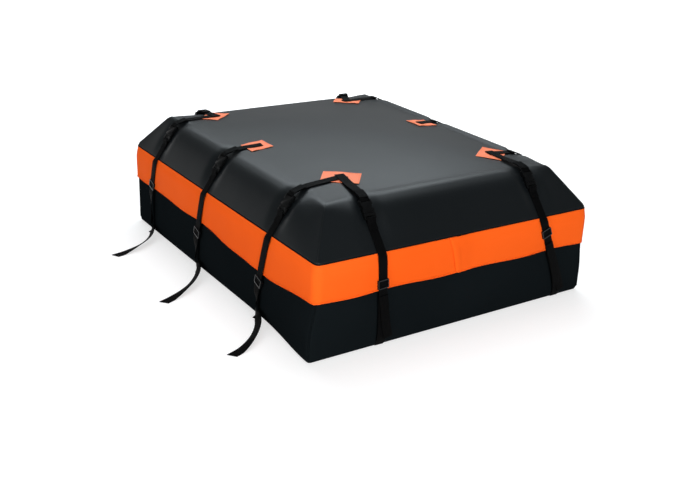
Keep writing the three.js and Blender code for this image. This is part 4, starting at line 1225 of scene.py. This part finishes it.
def soft_light(name, place, aim, size, power, colour=WHITE):
    clear_selection()
    bpy.ops.object.light_add(type="AREA", location=place)
    lamp = bpy.context.object
    lamp.name = name
    lamp.data.shape, lamp.data.size, lamp.data.size_y = "RECTANGLE", size[0], size[1]
    lamp.data.energy, lamp.data.color = power, colour
    lamp.rotation_euler = (Vector(aim) - Vector(place)).to_track_quat("-Z", "Y").to_euler()


soft_light("back_softbox", (0.95, 2.2, 2.75), (0, -0.1, 0.3), (3.4, 2.0), 104, COOL)
soft_light("top_softbox", (0.7, 0.5, 3.1), (0.1, -0.4, 0.3), (3.0, 1.6), 36, COOL)
soft_light("key_softbox", (-0.9, -3.6, 1.0), (0, -0.4, 0.2), (1.6, 1.6), 84)
soft_light("fill_softbox", (-3.4, -1.3, 1.0), (0, 0, 0.2), (1.6, 1.6), 54)

# %% [markdown]
# The picture's background is pure white. The floor and the low part of the world are shown white to the
# camera, to reflections and to clear things only, so that the white adds no light to the bag, and part of the
# floor's colour is still lit by the lamps, so that the bag's shadow lies on it.

# %% Floor and world
def joined(tree, operation, a, b):
    node = tree.nodes.new("ShaderNodeMath")
    node.operation, node.use_clamp = operation, True
    tree.links.new(a, node.inputs[0])
    tree.links.new(b, node.inputs[1])
    return node.outputs[0]


def seen_directly(tree):
    """1 for camera, glossy and transmission rays, 0 for all other rays."""
    path = tree.nodes.new("ShaderNodeLightPath")
    total = path.outputs["Is Camera Ray"]
    for ray in ("Is Glossy Ray", "Is Transmission Ray"):
        total = joined(tree, "ADD", total, path.outputs[ray])
    return total


def between(tree, value, from_low, from_high, to_low, to_high):
    span = tree.nodes.new("ShaderNodeMapRange")
    span.interpolation_type = "SMOOTHSTEP"
    numbers = {"From Min": from_low, "From Max": from_high, "To Min": to_low, "To Max": to_high}
    for key, number in numbers.items():
        span.inputs[key].default_value = number
    tree.links.new(value, span.inputs["Value"])
    return span.outputs["Result"]


clear_selection()
bpy.ops.mesh.primitive_plane_add(size=30, location=(0, 0, -0.0005))
floor = bpy.context.object
floor.name = "studio_floor"
floor_material, tree, shader = new_material("white_floor", (0.5, 0.5, 0.5), 0.9, Specular_IOR_Level=0.0)
coords, length = tree.nodes.new("ShaderNodeTexCoord"), tree.nodes.new("ShaderNodeVectorMath")
length.operation = "LENGTH"
tree.links.new(coords.outputs["Object"], length.inputs[0])
glow = between(tree, length.outputs["Value"], 0.8, 2.4, 0.60, 1.0)
shader.inputs["Emission Color"].default_value = (1, 1, 1, 1)
tree.links.new(joined(tree, "MULTIPLY", glow, seen_directly(tree)), shader.inputs["Emission Strength"])
floor.data.materials.append(floor_material)

world = bpy.data.worlds.new("studio_world")
bpy.context.scene.world = world
world.use_nodes = True
tree = world.node_tree
background = tree.nodes["Background"]
background.inputs["Color"].default_value = (1, 1, 1, 1)
coords, split = tree.nodes.new("ShaderNodeTexCoord"), tree.nodes.new("ShaderNodeSeparateXYZ")
tree.links.new(coords.outputs["Generated"], split.inputs["Vector"])
low_white = between(tree, split.outputs["Z"], 0.03, 0.16, 1.0, 0.0)
shown = joined(tree, "MULTIPLY", low_white, seen_directly(tree))
tree.links.new(between(tree, shown, 0.0, 1.0, 0.20, 1.0), background.inputs["Strength"])
print("floor and world ready")
